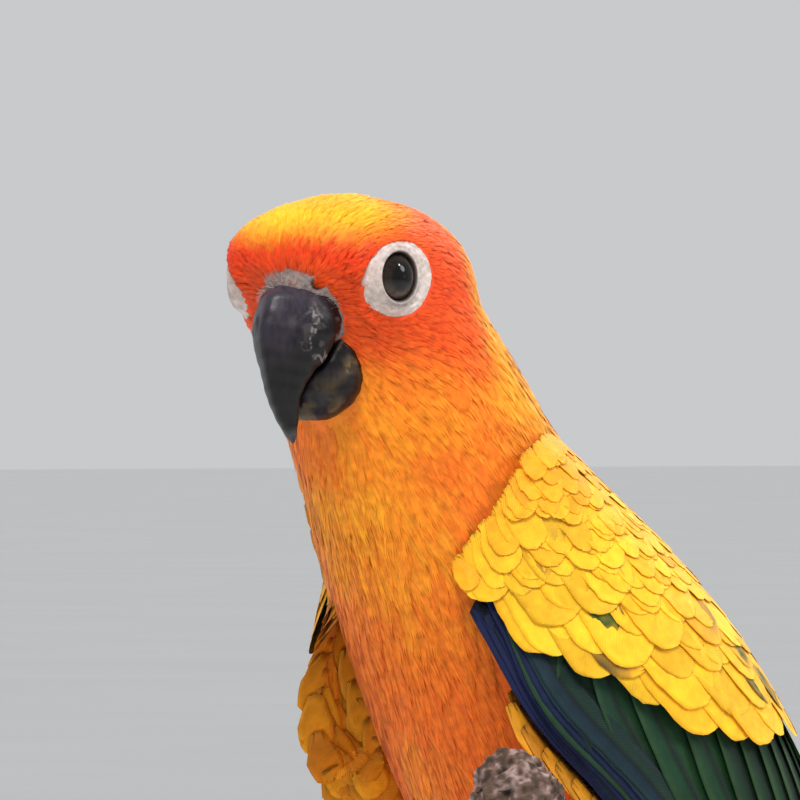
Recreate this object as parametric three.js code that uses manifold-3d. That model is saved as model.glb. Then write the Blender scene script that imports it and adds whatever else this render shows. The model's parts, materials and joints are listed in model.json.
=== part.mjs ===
// A sun conure perched on a cut branch, which two rods and a round base hold up.
// Millimetres, +Z up. The body faces -Y and its left side is +X. The origin is the centre of the
// base's underside. Inside the bird's group, z is the height above the top of the perch.
import * as THREE from "three";
import Module from "manifold-3d";
import { mergeVertices } from "three/addons/utils/BufferGeometryUtils.js";

// The gap between pieces that touch
const GAP = 0.3;

// The stand and the perch
const BASE_RADIUS = 64;
const BASE_THICKNESS = 12;
const ROD_RADIUS = 3.2;
const ROD_OFFSET = 40;
const PERCH_TOP = 122;
const LIMB_RADIUS = 8;
const LIMB_HALF_LENGTH = 54;
const STUB_RADIUS = 6.7;
const STUB_TOP = 62;

// The bird's driving sizes
const FOOT_SPACING = 25;
const HEAD_TURN = 18;
const HEAD_CENTRE = { left: 0.6, back: -42.6, up: 125 };
const EYE_RADIUS = 4.4;
const EYE_OPENING = 2.75;
const TAIL_LENGTH = 142;
const TAIL_PITCH = 60;
const TAIL_ROOT = { back: 27, up: 16 };

// Rings of the body from the tail root up to the crown: the centre's place, how far the ring's
// axis leans forward and turns left in degrees, its half width, its depth to the front and to
// the rear, and how much its front narrows.
const BODY_RINGS = [
  { back: 27, up: 16, lean: 30, turn: 0, half: 11, front: 7.5, rear: 6.5, narrow: 0 },
  { back: 20.5, up: 27, lean: 33, turn: 0, half: 18, front: 17.5, rear: 12.5, narrow: 0 },
  { back: 12.5, up: 40, lean: 35, turn: 0, half: 22.5, front: 23, rear: 19, narrow: 0 },
  { back: 3, up: 53, lean: 36, turn: 0, half: 25, front: 24.5, rear: 24, narrow: 0 },
  { back: -8, up: 67, lean: 36, turn: 0, half: 24.8, front: 23.5, rear: 24.5, narrow: 0 },
  { back: -17, up: 79.5, lean: 32, turn: 0, half: 22.8, front: 21, rear: 23, narrow: 0 },
  { back: -23.5, up: 90.5, lean: 26, turn: 0, half: 20.6, front: 19.5, rear: 19.8, narrow: 0 },
  { back: -28.5, up: 99.5, lean: 20, turn: 0, half: 18.8, front: 18.3, rear: 16.8, narrow: 0 },
  { back: -33, up: 107.5, lean: 13, turn: 3, half: 17.6, front: 17.2, rear: 16.2, narrow: 0.03 },
  { back: -37.5, up: 114.5, lean: 6, turn: 9, half: 16.6, front: 15.3, rear: 16.5, narrow: 0.07 },
  { back: -41, up: 120, lean: 0, turn: 15, half: 16.2, front: 15.9, rear: 17.2, narrow: 0.04 },
  { back: -42.4, up: 125, lean: 0, turn: 18, half: 15.9, front: 16.6, rear: 17.4, narrow: -0.05 },
  { back: -43, up: 129.5, lean: 0, turn: 18, half: 14, front: 14.8, rear: 15.4, narrow: -0.03 },
  { back: -43.6, up: 133.2, lean: 0, turn: 18, half: 9.8, front: 10.4, rear: 10.8, narrow: 0 },
  { back: -43.8, up: 135.2, lean: 0, turn: 18, half: 3, front: 3.2, rear: 3.3, narrow: 0 },
];
const BODY_SIDES = 28;
const RINGS_PER_STEP = 2;

// The planes that part the body, each at a point of the body's axis
const HEAD_CUT = { back: -34.6, up: 109.6, lean: 12 };
const NECK_CUT = { back: -28.5, up: 99.5, lean: 20 };
const WAIST_CUT = { back: -1.5, up: 59, lean: 36 };
const BACK_CUT = { back: -8, up: 67, lean: -54 };

// Level rings of the bill's two halves and of the cere, in the head's own frame: up and fore are
// measured from the head's centre
const UPPER_BILL_RINGS = [
  { up: -1.3, fore: 11.6, half: 3.2, front: 4.3, rear: 3, narrow: 0.2 },
  { up: -3, fore: 12, half: 4.8, front: 7, rear: 4, narrow: 0.35 },
  { up: -5.2, fore: 12.5, half: 5.6, front: 7.9, rear: 4.5, narrow: 0.45 },
  { up: -8, fore: 13.2, half: 6, front: 8.1, rear: 4.4, narrow: 0.5 },
  { up: -10.7, fore: 14, half: 5.2, front: 7.1, rear: 2.2, narrow: 0.45 },
  { up: -13.3, fore: 15.2, half: 3.9, front: 5.1, rear: 1.1, narrow: 0.4 },
  { up: -16.7, fore: 16.6, half: 2.5, front: 2.4, rear: 1.4, narrow: 0.3 },
  { up: -19.7, fore: 15.9, half: 1.6, front: 1.4, rear: 1.1, narrow: 0.2 },
  { up: -22.3, fore: 14.8, half: 0.6, front: 0.5, rear: 0.5, narrow: 0 },
];
const LOWER_BILL_RINGS = [
  { up: -8.6, fore: 8.6, half: 4.8, front: 4.4, rear: 3, narrow: 0.1 },
  { up: -11, fore: 9, half: 6.1, front: 5.2, rear: 5, narrow: 0.2 },
  { up: -14.4, fore: 9, half: 6.6, front: 5.6, rear: 5.6, narrow: 0.2 },
  { up: -17, fore: 9, half: 5.7, front: 5.4, rear: 4.6, narrow: 0.15 },
  { up: -19, fore: 9.2, half: 3.8, front: 4, rear: 3, narrow: 0.1 },
  { up: -19.9, fore: 9.4, half: 1.8, front: 2, rear: 1.6, narrow: 0 },
];
const CERE_RINGS = [
  { up: -0.3, fore: 10.4, half: 3.2, front: 4.3, rear: 3, narrow: 0.1 },
  { up: -1.8, fore: 10.6, half: 5.3, front: 6, rear: 3, narrow: 0.15 },
  { up: -3.8, fore: 10.8, half: 6.4, front: 6.2, rear: 3, narrow: 0.2 },
  { up: -6.2, fore: 10.8, half: 6.9, front: 4.8, rear: 3, narrow: 0.2 },
  { up: -8.6, fore: 10.6, half: 6.9, front: 3.4, rear: 3, narrow: 0.1 },
  { up: -9.6, fore: 10.4, half: 6.1, front: 2.6, rear: 2.4, narrow: 0 },
];
const NOSTRIL = { left: 4.1, fore: 14.9, up: -2.3, radius: 0.8, depth: 3 };
const EYE_PLACE = { left: 9.2, fore: 7.6, up: -0.6 };
const EYE_TURN = 75;

// The folded wings, drawn for the left side: the leading edge of each from the wrist to the tip,
// and the upper edge of both. The right one hangs a little looser at the front.
const WING_LEADING_EDGES = {
  left: [
    [17.5, -36.8, 84.5],
    [21.5, -34.2, 75.5],
    [25.2, -31, 66.5],
    [28.6, -20.5, 55.5],
    [29.6, -8, 43],
    [27, 8, 26.5],
    [21, 25, 7],
    [14.5, 42, -12],
    [8.5, 58, -30],
  ],
  right: [
    [16.5, -34.5, 81.5],
    [21.5, -34, 73.5],
    [25.6, -32.3, 65],
    [29.7, -23.1, 55],
    [30.4, -9.7, 43],
    [27.6, 7.5, 26.5],
    [21, 25, 7],
    [14.5, 42, -12],
    [8.5, 58, -30],
  ],
};
const WING_UPPER_EDGE = [
  [11, -10, 98.5],
  [12.5, 7, 84.5],
  [12.5, 18, 72],
  [11, 27.5, 56],
  [8.5, 35, 36],
  [5.5, 41.5, 12],
  [4, 49, -10],
  [2.5, 58, -31],
];
const WING_BULGE = [9, 10.6, 10.2, 7, 3.2, 0.5];
const WING_DEPTH = [4, 8, 8, 5, 1.6, 0.9];
const WING_CORE_END = 0.46;

// The tiers of one wing from the outermost down: how many vanes, where they lie across the wing,
// their width, how deep their roots and tips sink below the wing's surface, and for the long ones
// how much deeper each next one lies
const MEDIAN_COVERTS = { count: 7, from: 0.12, to: 0.92, width: 8.4, rootSink: 1.6, tipSink: 0 };
const GREATER_COVERTS = { count: 7, from: 0.12, to: 0.92, width: 8.4, rootSink: 2.8, tipSink: 1.2 };
const SECONDARIES = { count: 6, from: 0.2, to: 0.9, width: 9.4, rootSink: 3.4, tipSink: 2.1, step: -0.3 };
const PRIMARIES = { count: 4, from: 0.24, to: 0.12, width: 8.8, rootSink: 4.8, tipSink: 3, step: 0.6 };
const WING_TIP_RISE = 4;
const COVERT_LENGTH = 0.13;
const VANE_THICKNESS = 0.5;
const VANE_TILT = 1.35;

// How wide a vane is at places along it, as shares of its length and of its full width
const ROUND_VANE = [[0, 0.65], [0.5, 1], [0.88, 0.76], [1, 0.25]];
const LONG_VANE = [[0, 0.6], [0.3, 0.95], [0.65, 1], [0.9, 0.76], [1, 0.18]];
const TAIL_VANE = [[0, 0.5], [0.2, 0.85], [0.5, 1], [0.75, 0.84], [0.91, 0.52], [1, 0.12]];

// The tail feathers of one side, from the middle pair out
const TAIL_FEATHER_LENGTHS = [TAIL_LENGTH, 128, 114, 101, 89, 77];
const TAIL_FEATHER_WIDTHS = [13, 12.5, 12, 11.5, 11, 10];
const TAIL_TOP = 2.2;
const TAIL_LAYER = 0.85;
const MIDDLE_PAIR_SPREAD = 2.2;
const TAIL_CORE = [
  { run: GAP, half: 11, front: 7.5, rear: 6.5 },
  { run: 10, half: 10.6, front: 6, rear: 5.4 },
  { run: 22, half: 8.4, front: 3.6, rear: 3.8 },
  { run: 30, half: 4.5, front: 1.6, rear: 2.4 },
];

// The room round the tail that the folded wings keep clear of
const TAIL_ROOM = [
  { run: -1, half: 13, front: 9, rear: 7.2 },
  { run: 25, half: 16, front: 8, rear: 6.2 },
  { run: 60, half: 16, front: 6, rear: 5 },
  { run: 90, half: 16, front: 6, rear: 5 },
];
const TAIL_COVERTS = { count: 4, spread: 13, width: 8.5, upper: 40, under: 52 };

const wasm = await Module();
wasm.setup();

const radians = THREE.MathUtils.degToRad;

function geometryOf(positions, triangles) {
  const geometry = new THREE.BufferGeometry();
  geometry.setFromPoints(positions);
  geometry.setIndex(triangles.flat());
  return geometry;
}

// The corners of a closed surface's triangles, turned round where its faces point in
function outwardCorners(geometry) {
  const place = geometry.attributes.position;
  const corners = new Uint32Array(geometry.index.array);
  const [a, b, c] = [new THREE.Vector3(), new THREE.Vector3(), new THREE.Vector3()];
  let volume = 0;
  for (let i = 0; i < corners.length; i += 3) {
    a.fromBufferAttribute(place, corners[i]);
    b.fromBufferAttribute(place, corners[i + 1]);
    c.fromBufferAttribute(place, corners[i + 2]);
    volume += a.dot(b.cross(c));
  }
  for (let i = 0; volume < 0 && i < corners.length; i += 3) {
    [corners[i + 1], corners[i + 2]] = [corners[i + 2], corners[i + 1]];
  }
  return corners;
}

// A closed surface through rings of points, with a fan over each end
function loft(rings) {
  const sides = rings[0].length;
  const positions = rings.flat();
  const triangles = [];
  for (let r = 0; r + 1 < rings.length; r += 1) {
    for (let s = 0; s < sides; s += 1) {
      const a = r * sides + s;
      const b = r * sides + ((s + 1) % sides);
      triangles.push([a, b, b + sides], [a, b + sides, a + sides]);
    }
  }
  for (const [ring, turned] of [[0, true], [rings.length - 1, false]]) {
    const middle = new THREE.Vector3();
    rings[ring].forEach((point) => middle.add(point));
    positions.push(middle.divideScalar(sides));
    const hub = positions.length - 1;
    for (let s = 0; s < sides; s += 1) {
      const a = ring * sides + s;
      const b = ring * sides + ((s + 1) % sides);
      triangles.push(turned ? [hub, b, a] : [hub, a, b]);
    }
  }
  return geometryOf(positions, triangles);
}

function solidOf(geometry) {
  const bare = geometry.clone();
  bare.deleteAttribute("normal");
  bare.deleteAttribute("uv");
  const merged = mergeVertices(bare);
  return new wasm.Manifold(new wasm.Mesh({
    numProp: 3,
    vertProperties: new Float32Array(merged.attributes.position.array),
    triVerts: outwardCorners(merged),
  }));
}

// The largest closed surface of a solid, as a geometry
function geometryFrom(solid) {
  const pieces = solid.decompose();
  pieces.sort((one, other) => other.volume() - one.volume());
  const mesh = pieces[0].getMesh();
  const geometry = new THREE.BufferGeometry();
  geometry.setAttribute("position", new THREE.BufferAttribute(mesh.vertProperties, mesh.numProp));
  geometry.setIndex(new THREE.BufferAttribute(mesh.triVerts, 1));
  geometry.computeVertexNormals();
  return geometry;
}

// A value of a list of numbers, read smoothly at a place from 0 to its last index
function smoothAt(values, place) {
  const i = Math.min(Math.floor(place), values.length - 2);
  const at = (k) => values[THREE.MathUtils.clamp(k, 0, values.length - 1)];
  const t = place - i;
  const slopeIn = (at(i + 1) - at(i - 1)) / 2;
  const slopeOut = (at(i + 2) - at(i)) / 2;
  const t2 = t * t;
  const t3 = t2 * t;
  return (2 * t3 - 3 * t2 + 1) * at(i) + (t3 - 2 * t2 + t) * slopeIn
    + (3 * t2 - 2 * t3) * at(i + 1) + (t3 - t2) * slopeOut;
}

function ringAt(rings, place) {
  const ring = {};
  for (const key of Object.keys(rings[0])) {
    ring[key] = smoothAt(rings.map((one) => one[key]), place);
  }
  return ring;
}

// The closed curve of a ring, from its front round by the bird's left
function ringPoints(ring, sides, grow) {
  const lean = radians(ring.lean ?? 0);
  const turn = radians(ring.turn ?? 0);
  const back = ring.back ?? -ring.fore;
  const fore = new THREE.Vector3(Math.sin(turn) * Math.cos(lean), -Math.cos(turn) * Math.cos(lean),
    -Math.sin(lean));
  const left = new THREE.Vector3(Math.cos(turn), Math.sin(turn), 0);
  const points = [];
  for (let s = 0; s < sides; s += 1) {
    const angle = (2 * Math.PI * s) / sides;
    const ahead = Math.max(0, Math.cos(angle));
    const across = Math.sin(angle) * (ring.half + grow) * (1 - ring.narrow * ahead * ahead);
    const depth = Math.cos(angle) > 0 ? ring.front + grow : ring.rear + grow;
    points.push(new THREE.Vector3(0, back, ring.up)
      .addScaledVector(left, across)
      .addScaledVector(fore, Math.cos(angle) * depth));
  }
  return points;
}

function ringLoft(rings, sides, perStep, grow) {
  const curves = [];
  const steps = (rings.length - 1) * perStep;
  for (let i = 0; i <= steps; i += 1) {
    curves.push(ringPoints(ringAt(rings, i / perStep), sides, grow));
  }
  return loft(curves);
}

function bodySolid(grow) {
  return solidOf(ringLoft(BODY_RINGS, BODY_SIDES, RINGS_PER_STEP, grow));
}

// The half of space on the far side of a plane that leans forward from level
function beyond(plane, side, grow) {
  const size = 400;
  const box = new THREE.BoxGeometry(size, size, size);
  box.translate(0, 0, side * (size / 2 + grow));
  box.rotateX(radians(plane.lean));
  box.translate(0, plane.back, plane.up);
  return solidOf(box);
}

function keepBeyond(solid, cuts) {
  return cuts.reduce((kept, [plane, side]) => kept.intersect(beyond(plane, side, GAP / 2)), solid);
}

// A closed tube whose radius changes along a smooth line
function taperedTube(points, radii, sides, steps, grow) {
  const line = new THREE.CatmullRomCurve3(points);
  const frames = line.computeFrenetFrames(steps, false);
  const rings = [];
  for (let i = 0; i <= steps; i += 1) {
    const middle = line.getPointAt(i / steps);
    const radius = smoothAt(radii, (i / steps) * (radii.length - 1)) + grow;
    const ring = [];
    for (let s = 0; s < sides; s += 1) {
      const angle = (2 * Math.PI * s) / sides;
      ring.push(middle.clone()
        .addScaledVector(frames.normals[i], radius * Math.cos(angle))
        .addScaledVector(frames.binormals[i], radius * Math.sin(angle)));
    }
    rings.push(ring);
  }
  return loft(rings);
}

const edgeCurve = (points) => new THREE.CatmullRomCurve3(points.map((p) => new THREE.Vector3(...p)));
const leadingEdges = {
  left: edgeCurve(WING_LEADING_EDGES.left),
  right: edgeCurve(WING_LEADING_EDGES.right),
};
const upperEdge = edgeCurve(WING_UPPER_EDGE);

function wingNormal(edge, along) {
  const chord = upperEdge.getPointAt(along).sub(edge.getPointAt(along));
  const run = edge.getTangentAt(along).add(upperEdge.getTangentAt(along));
  return run.cross(chord).normalize();
}

// The wing's outer surface: along runs from wrist to tip, across from leading to upper edge
function wingPoint(edge, along, across, sink) {
  const bulge = smoothAt(WING_BULGE, along * (WING_BULGE.length - 1));
  return edge.getPointAt(along).lerp(upperEdge.getPointAt(along), across)
    .addScaledVector(wingNormal(edge, along), bulge * 4 * across * (1 - across) - sink);
}

// How far along the wing the tips of the greater coverts lie, by the place across it
const covertLine = (across) => 0.36 * (1 - Math.exp(-across / 0.35));

function wingCore(edge) {
  const stations = 8;
  const columns = 4;
  const rings = [];
  for (let i = 0; i <= stations; i += 1) {
    const along = (WING_CORE_END * i) / stations;
    const depth = smoothAt(WING_DEPTH, along * (WING_DEPTH.length - 1));
    const left = 1 - (i / stations) ** 3;
    const outer = [];
    const inner = [];
    for (let c = 0; c <= columns; c += 1) {
      const across = c / columns;
      const line = covertLine(across);
      const sink = 0.2 + 4 * THREE.MathUtils.smoothstep(along, line - 0.24, line + 0.04);
      outer.push(wingPoint(edge, along, across, sink));
      inner.unshift(wingPoint(edge, along, across, sink + 1.9 + (depth - 0.8) * Math.sqrt(across) * left));
    }
    rings.push([...outer, ...inner]);
  }
  return solidOf(loft(rings));
}

// A thin closed vane. frameAt gives the middle, the side way and the outward way at a share of
// its length, and the vane's two faces are split into triangles alike.
function vaneSolid(frameAt, profile, width, tilt) {
  const positions = [];
  const triangles = [];
  profile.forEach(([share, wide], i) => {
    const { middle, sideways, outward } = frameAt(share);
    const half = (width * wide) / 2;
    const thick = (VANE_THICKNESS / 2) * (share < 1 ? 1 : 0.7);
    for (const [way, face] of [[-1, 1], [1, 1], [1, -1], [-1, -1]]) {
      positions.push(middle.clone()
        .addScaledVector(sideways, way * half)
        .addScaledVector(outward, face * thick - (way * tilt * wide) / 2));
    }
    if (i === 0) return;
    const [a, b, c, d] = [0, 1, 2, 3].map((k) => 4 * (i - 1) + k);
    triangles.push([a, b, b + 4], [a, b + 4, a + 4], [d, c + 4, c], [d, d + 4, c + 4]);
    triangles.push([b, c, c + 4], [b, c + 4, b + 4], [d, a, a + 4], [d, a + 4, d + 4]);
  });
  const last = positions.length - 4;
  triangles.push([0, 3, 2], [0, 2, 1], [last, last + 1, last + 2], [last, last + 2, last + 3]);
  return solidOf(geometryOf(positions, triangles));
}

// A vane on the wing, from a root to a tip that are given along and across it
function wingVane(edge, tier, profile, root, tip, width, deeper) {
  const frameAt = (share) => {
    const along = THREE.MathUtils.lerp(root[0], tip[0], share);
    const across = THREE.MathUtils.lerp(root[1], tip[1], share);
    const sink = THREE.MathUtils.lerp(tier.rootSink, tier.tipSink, Math.min(1, share * 1.6)) + deeper
      - WING_TIP_RISE * THREE.MathUtils.smoothstep(along, 0.6, 1);
    const step = 0.04;
    const before = wingPoint(edge, along, across - step, 0);
    const sideways = wingPoint(edge, along, across + step, 0).sub(before).normalize();
    const run = edge.getTangentAt(along).add(upperEdge.getTangentAt(along));
    return {
      middle: wingPoint(edge, along, across, sink),
      sideways,
      outward: run.cross(sideways).normalize(),
    };
  };
  return vaneSolid(frameAt, profile, width, VANE_TILT);
}

// A repeatable stream of numbers from 0 to 1
function seededRandom(seed) {
  let state = seed;
  return () => {
    state = (state * 1664525 + 1013904223) % 4294967296;
    return state / 4294967296;
  };
}

function wingVanes(edge, random) {
  const vanes = [];
  const spread = (tier, k) => THREE.MathUtils.lerp(tier.from, tier.to, k / (tier.count - 1));
  const vary = (amount) => 1 + amount * (2 * random() - 1);
  for (const [tier, lag] of [[MEDIAN_COVERTS, 0.085], [GREATER_COVERTS, 0]]) {
    for (let k = 0; k < tier.count; k += 1) {
      const across = spread(tier, k);
      const tip = covertLine(across) - lag * Math.min(1, across * 3) - 0.02 * random() * across;
      const root = [Math.max(0.01, tip - COVERT_LENGTH * vary(0.06)), Math.min(0.97, across + 0.07)];
      vanes.push(wingVane(edge, tier, ROUND_VANE, root, [tip, across], tier.width * vary(0.06), 0));
    }
  }
  for (let k = 0; k < SECONDARIES.count; k += 1) {
    const across = spread(SECONDARIES, k);
    const root = [Math.max(0.03, covertLine(across) - 0.08), across];
    const tip = [0.42 + 0.2 * across + 0.01 * random(), 0.08 + 0.84 * across ** 1.5];
    const width = SECONDARIES.width * vary(0.04);
    const deeper = SECONDARIES.step * (k + 1 - SECONDARIES.count);
    vanes.push(wingVane(edge, SECONDARIES, LONG_VANE, root, tip, width, deeper));
  }
  for (let k = 0; k < PRIMARIES.count; k += 1) {
    const share = k / (PRIMARIES.count - 1);
    const root = [0.17 - 0.14 * share, spread(PRIMARIES, k)];
    const tip = [0.64 + 0.36 * share ** 0.8, 0.72 - 0.5 * share];
    const width = PRIMARIES.width * vary(0.04);
    vanes.push(wingVane(edge, PRIMARIES, LONG_VANE, root, tip, width, PRIMARIES.step * k));
  }
  return vanes;
}

function wingSolid(edge, seed) {
  return wingVanes(edge, seededRandom(seed)).reduce((wing, vane) => wing.add(vane), wingCore(edge));
}

// The tail's frame, from its run, side and height above its middle to the bird's
const tailFrame = new THREE.Matrix4().makeRotationX(radians(90 - TAIL_PITCH))
  .setPosition(0, TAIL_ROOT.back, TAIL_ROOT.up);
const tailPoint = (side, height, run) => new THREE.Vector3(side, height, -run).applyMatrix4(tailFrame);
const tailWay = (side, height) => new THREE.Vector3(side, height, 0).transformDirection(tailFrame);

function tailVane(profile, width, length, placeAt) {
  const frameAt = (share) => ({
    middle: tailPoint(...placeAt(share), GAP + 1 + share * (length - 1)),
    sideways: tailWay(1, 0),
    outward: tailWay(0, 1),
  });
  return vaneSolid(frameAt, profile, width, 0);
}

function tailLoft(stations) {
  const rings = stations.map(({ run, half, front, rear }) => {
    const middle = tailPoint(0, 0, run);
    return ringPoints({
      back: middle.y, up: middle.z, lean: 90 - TAIL_PITCH, half, front, rear, narrow: 0,
    }, 20, 0);
  });
  return solidOf(loft(rings));
}

function tailSolid() {
  let tail = tailLoft(TAIL_CORE);
  for (const side of [1, -1]) {
    TAIL_FEATHER_LENGTHS.forEach((length, k) => {
      const width = TAIL_FEATHER_WIDTHS[k];
      const middle = k === 0 ? MIDDLE_PAIR_SPREAD : width / 2 + 0.2 + 0.35 * k;
      const height = k === 0 && side > 0 ? TAIL_TOP + TAIL_LAYER : TAIL_TOP - TAIL_LAYER * k;
      tail = tail.add(tailVane(TAIL_VANE, width, length, (share) => (
        [side * middle * (0.62 + 0.38 * Math.min(1, share * 2)), height])));
    });
  }
  const covers = [[1, TAIL_COVERTS.upper, 4.8, 3.9], [-1, TAIL_COVERTS.under, -6, -3.4]];
  for (const [way, length, height, level] of covers) {
    for (let k = 0; k < TAIL_COVERTS.count; k += 1) {
      const place = (2 * k) / (TAIL_COVERTS.count - 1) - 1;
      const reach = length * (1 - 0.28 * place * place);
      tail = tail.add(tailVane(ROUND_VANE, TAIL_COVERTS.width, reach, (share) => (
        [(place * TAIL_COVERTS.spread) / 2,
          THREE.MathUtils.lerp(height, level, share) - way * (1.6 * place * place + 0.35 * (k % 2))])));
    }
  }
  return tail;
}

// The perch limb's radius at a place along it
function limbRadius(x) {
  return LIMB_RADIUS + 0.35 * Math.sin(0.11 * x + 1) + 0.2 * Math.sin(0.31 * x);
}

function limbSolid(grow) {
  const rings = [];
  const steps = 16;
  const sides = 16;
  for (let i = 0; i <= steps; i += 1) {
    const x = LIMB_HALF_LENGTH * ((2 * i) / steps - 1);
    const ring = [];
    for (let s = 0; s < sides; s += 1) {
      const angle = (2 * Math.PI * s) / sides;
      const end = i === 0 || i === steps ? 0.8 * Math.sin(3 * angle + i) : 0;
      const radius = limbRadius(x) + grow;
      ring.push(new THREE.Vector3(x + end, radius * Math.sin(angle),
        radius * Math.cos(angle) - limbRadius(x)));
    }
    rings.push(ring);
  }
  return solidOf(loft(rings));
}

function stubSolid() {
  const sides = 14;
  const line = [
    [34, 1, -8],
    [34.5, -13, -5],
    [33.5, -26, 7],
    [29.8, -34, 26],
    [27, -36.2, 45],
    [26, -36.2, STUB_TOP - 3],
  ].map((p) => new THREE.Vector3(...p));
  const tube = taperedTube(line, [5.6, 5.8, 6, 6.3, 6.7, STUB_RADIUS], sides, 12, 0);
  // The top ring is jagged, as a snapped branch is
  const place = tube.attributes.position;
  const top = place.count - 2 - sides;
  for (let s = 0; s < sides; s += 1) {
    place.setZ(top + s, place.getZ(top + s) + 1.1 * Math.sin(1.7 * s) + 0.6 * Math.cos(4.1 * s));
  }
  place.setZ(place.count - 1, STUB_TOP);
  return solidOf(tube).subtract(limbSolid(GAP));
}

// One toe that bends over the limb, with the claw at its end
function toeSolid(footX, way, spread, length, radius) {
  const reach = limbRadius(footX) + radius + 0.4;
  const toePoint = (run, lift) => {
    const angle = run / reach;
    return new THREE.Vector3(footX + spread * Math.sin(Math.min(run / length, 1) * 1.4),
      way * (reach + lift) * Math.sin(angle), (reach + lift) * Math.cos(angle) - limbRadius(footX));
  };
  const toePoints = [-0.1, 0.15, 0.4, 0.62, 0.82, 1].map((part) => toePoint(part * length, 0));
  const toe = taperedTube(toePoints, [1, 1.08, 0.9, 1.02, 0.84, 0.95, 0.8, 0.6].map((f) => f * radius),
    6, 7, 0);
  const clawPoints = [0.9, 1.08, 1.22, 1.36].map((part, i) => (
    toePoint(part * length, [0.4, 0.9, 0.5, -0.6][i])));
  const claw = taperedTube(clawPoints, [0.62, 0.6, 0.4, 0.14].map((f) => f * radius), 5, 4, 0);
  return solidOf(toe).add(solidOf(claw));
}

function footSolid(side) {
  const footX = (side * FOOT_SPACING) / 2;
  const toes = [
    [-1, 4.6 * side, 20, 2.1],
    [-1, -3.2 * side, 17, 2],
    [1, 4 * side, 18, 2],
    [1, -3 * side, 12, 1.8],
  ];
  const shank = taperedTube([
    new THREE.Vector3(footX, 1.5, 13.5),
    new THREE.Vector3(footX, 0.8, 8),
    new THREE.Vector3(footX, 0, 2.9),
  ], [2.6, 2.5, 2.9], 8, 4, 0);
  return toes.reduce((foot, toe) => foot.add(toeSolid(footX, ...toe)), solidOf(shank));
}

function thighShape(side, grow) {
  const footX = (side * FOOT_SPACING) / 2;
  return solidOf(taperedTube([
    new THREE.Vector3(footX + side, 3, 32),
    new THREE.Vector3(footX + 0.5 * side, 0.5, 20),
    new THREE.Vector3(footX, 0.8, 8),
  ], [9, 8.4, 4.6], 14, 5, grow));
}

function thighSolid(side) {
  const footX = (side * FOOT_SPACING) / 2;
  const socket = taperedTube([
    new THREE.Vector3(footX, 1.5, 14.5),
    new THREE.Vector3(footX, 0.8, 8),
    new THREE.Vector3(footX, 0, 2.9),
  ], [2.6, 2.5, 2.9], 8, 4, GAP);
  return thighShape(side, 0).subtract(bodySolid(GAP)).subtract(solidOf(socket));
}

// The head's frame, from its local axes to the bird's
const headFrame = new THREE.Matrix4().makeRotationZ(radians(HEAD_TURN))
  .setPosition(HEAD_CENTRE.left, HEAD_CENTRE.back, HEAD_CENTRE.up);

function inHead(geometry) {
  return solidOf(geometry.applyMatrix4(headFrame));
}

function inEye(geometry, side) {
  geometry.scale(1.07, 1, 1);
  geometry.rotateZ(side * radians(EYE_TURN - 180));
  geometry.translate(side * EYE_PLACE.left, -EYE_PLACE.fore, EYE_PLACE.up);
  return inHead(geometry);
}

function eyeGeometry(side, grow) {
  const ball = new THREE.SphereGeometry(EYE_RADIUS + grow, 16, 12);
  ball.translate(side * EYE_PLACE.left, -EYE_PLACE.fore, EYE_PLACE.up);
  return inHead(ball);
}

// The bare ring of skin with the lids' raised rims, turned about the eye's axis
function eyeRing(side) {
  const profile = [
    [EYE_OPENING, 3.95],
    [EYE_OPENING + 0.35, 4.35],
    [3.7, 4.2],
    [4.4, 4.05],
    [5.05, 3.5],
    [5.1, 2.2],
    [4.5, 2.2],
    [3.95, 2.95],
    [EYE_OPENING, 3.95],
  ];
  return inEye(new THREE.LatheGeometry(profile.map((p) => new THREE.Vector2(...p)), 20), side);
}

function eyeSocket(side) {
  const profile = [[0, 0], [5.4, 0], [5.4, 9], [0, 9]];
  const mouth = new THREE.LatheGeometry(profile.map((p) => new THREE.Vector2(...p)), 20);
  mouth.translate(0, 1.9, 0);
  return inEye(mouth, side).add(eyeGeometry(side, GAP));
}

const billSolid = (rings, grow) => inHead(ringLoft(rings, 16, 2, grow));

function nostril(side) {
  const hole = new THREE.CylinderGeometry(NOSTRIL.radius, NOSTRIL.radius, NOSTRIL.depth, 10);
  hole.rotateZ(Math.PI / 2);
  hole.rotateY(side * radians(-35));
  hole.rotateZ(side * radians(-35));
  hole.translate(side * NOSTRIL.left, -NOSTRIL.fore, NOSTRIL.up);
  return inHead(hole);
}

function rodSolid(side) {
  const top = PERCH_TOP - LIMB_RADIUS;
  const floor = BASE_THICKNESS + GAP;
  const profile = [
    [0, floor],
    [6.5, floor],
    [6.5, floor + 1.6],
    [4.6, floor + 4],
    [ROD_RADIUS, floor + 5],
    [ROD_RADIUS, top],
    [0, top],
  ];
  const rod = new THREE.LatheGeometry(profile.map((p) => new THREE.Vector2(...p)), 14);
  rod.rotateX(Math.PI / 2);
  rod.translate(side * ROD_OFFSET, 0, -PERCH_TOP);
  return solidOf(rod).subtract(limbSolid(GAP));
}

function baseGeometry() {
  const profile = [
    [0, 0],
    [BASE_RADIUS - 1, 0],
    [BASE_RADIUS, 1],
    [BASE_RADIUS, BASE_THICKNESS - 3],
    [BASE_RADIUS - 1, BASE_THICKNESS - 1],
    [BASE_RADIUS - 3, BASE_THICKNESS],
    [0, BASE_THICKNESS],
  ];
  const base = new THREE.LatheGeometry(profile.map((p) => new THREE.Vector2(...p)), 40);
  base.rotateX(Math.PI / 2);
  return geometryFrom(solidOf(base));
}

const part = new THREE.Group();
const bird = new THREE.Group();
bird.position.z = PERCH_TOP;
part.add(bird);

function addPiece(group, name, geometry, color, roughness, metalness = 0) {
  const piece = new THREE.Mesh(geometry, new THREE.MeshStandardMaterial({ color, roughness, metalness }));
  piece.name = name;
  group.add(piece);
}

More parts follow.
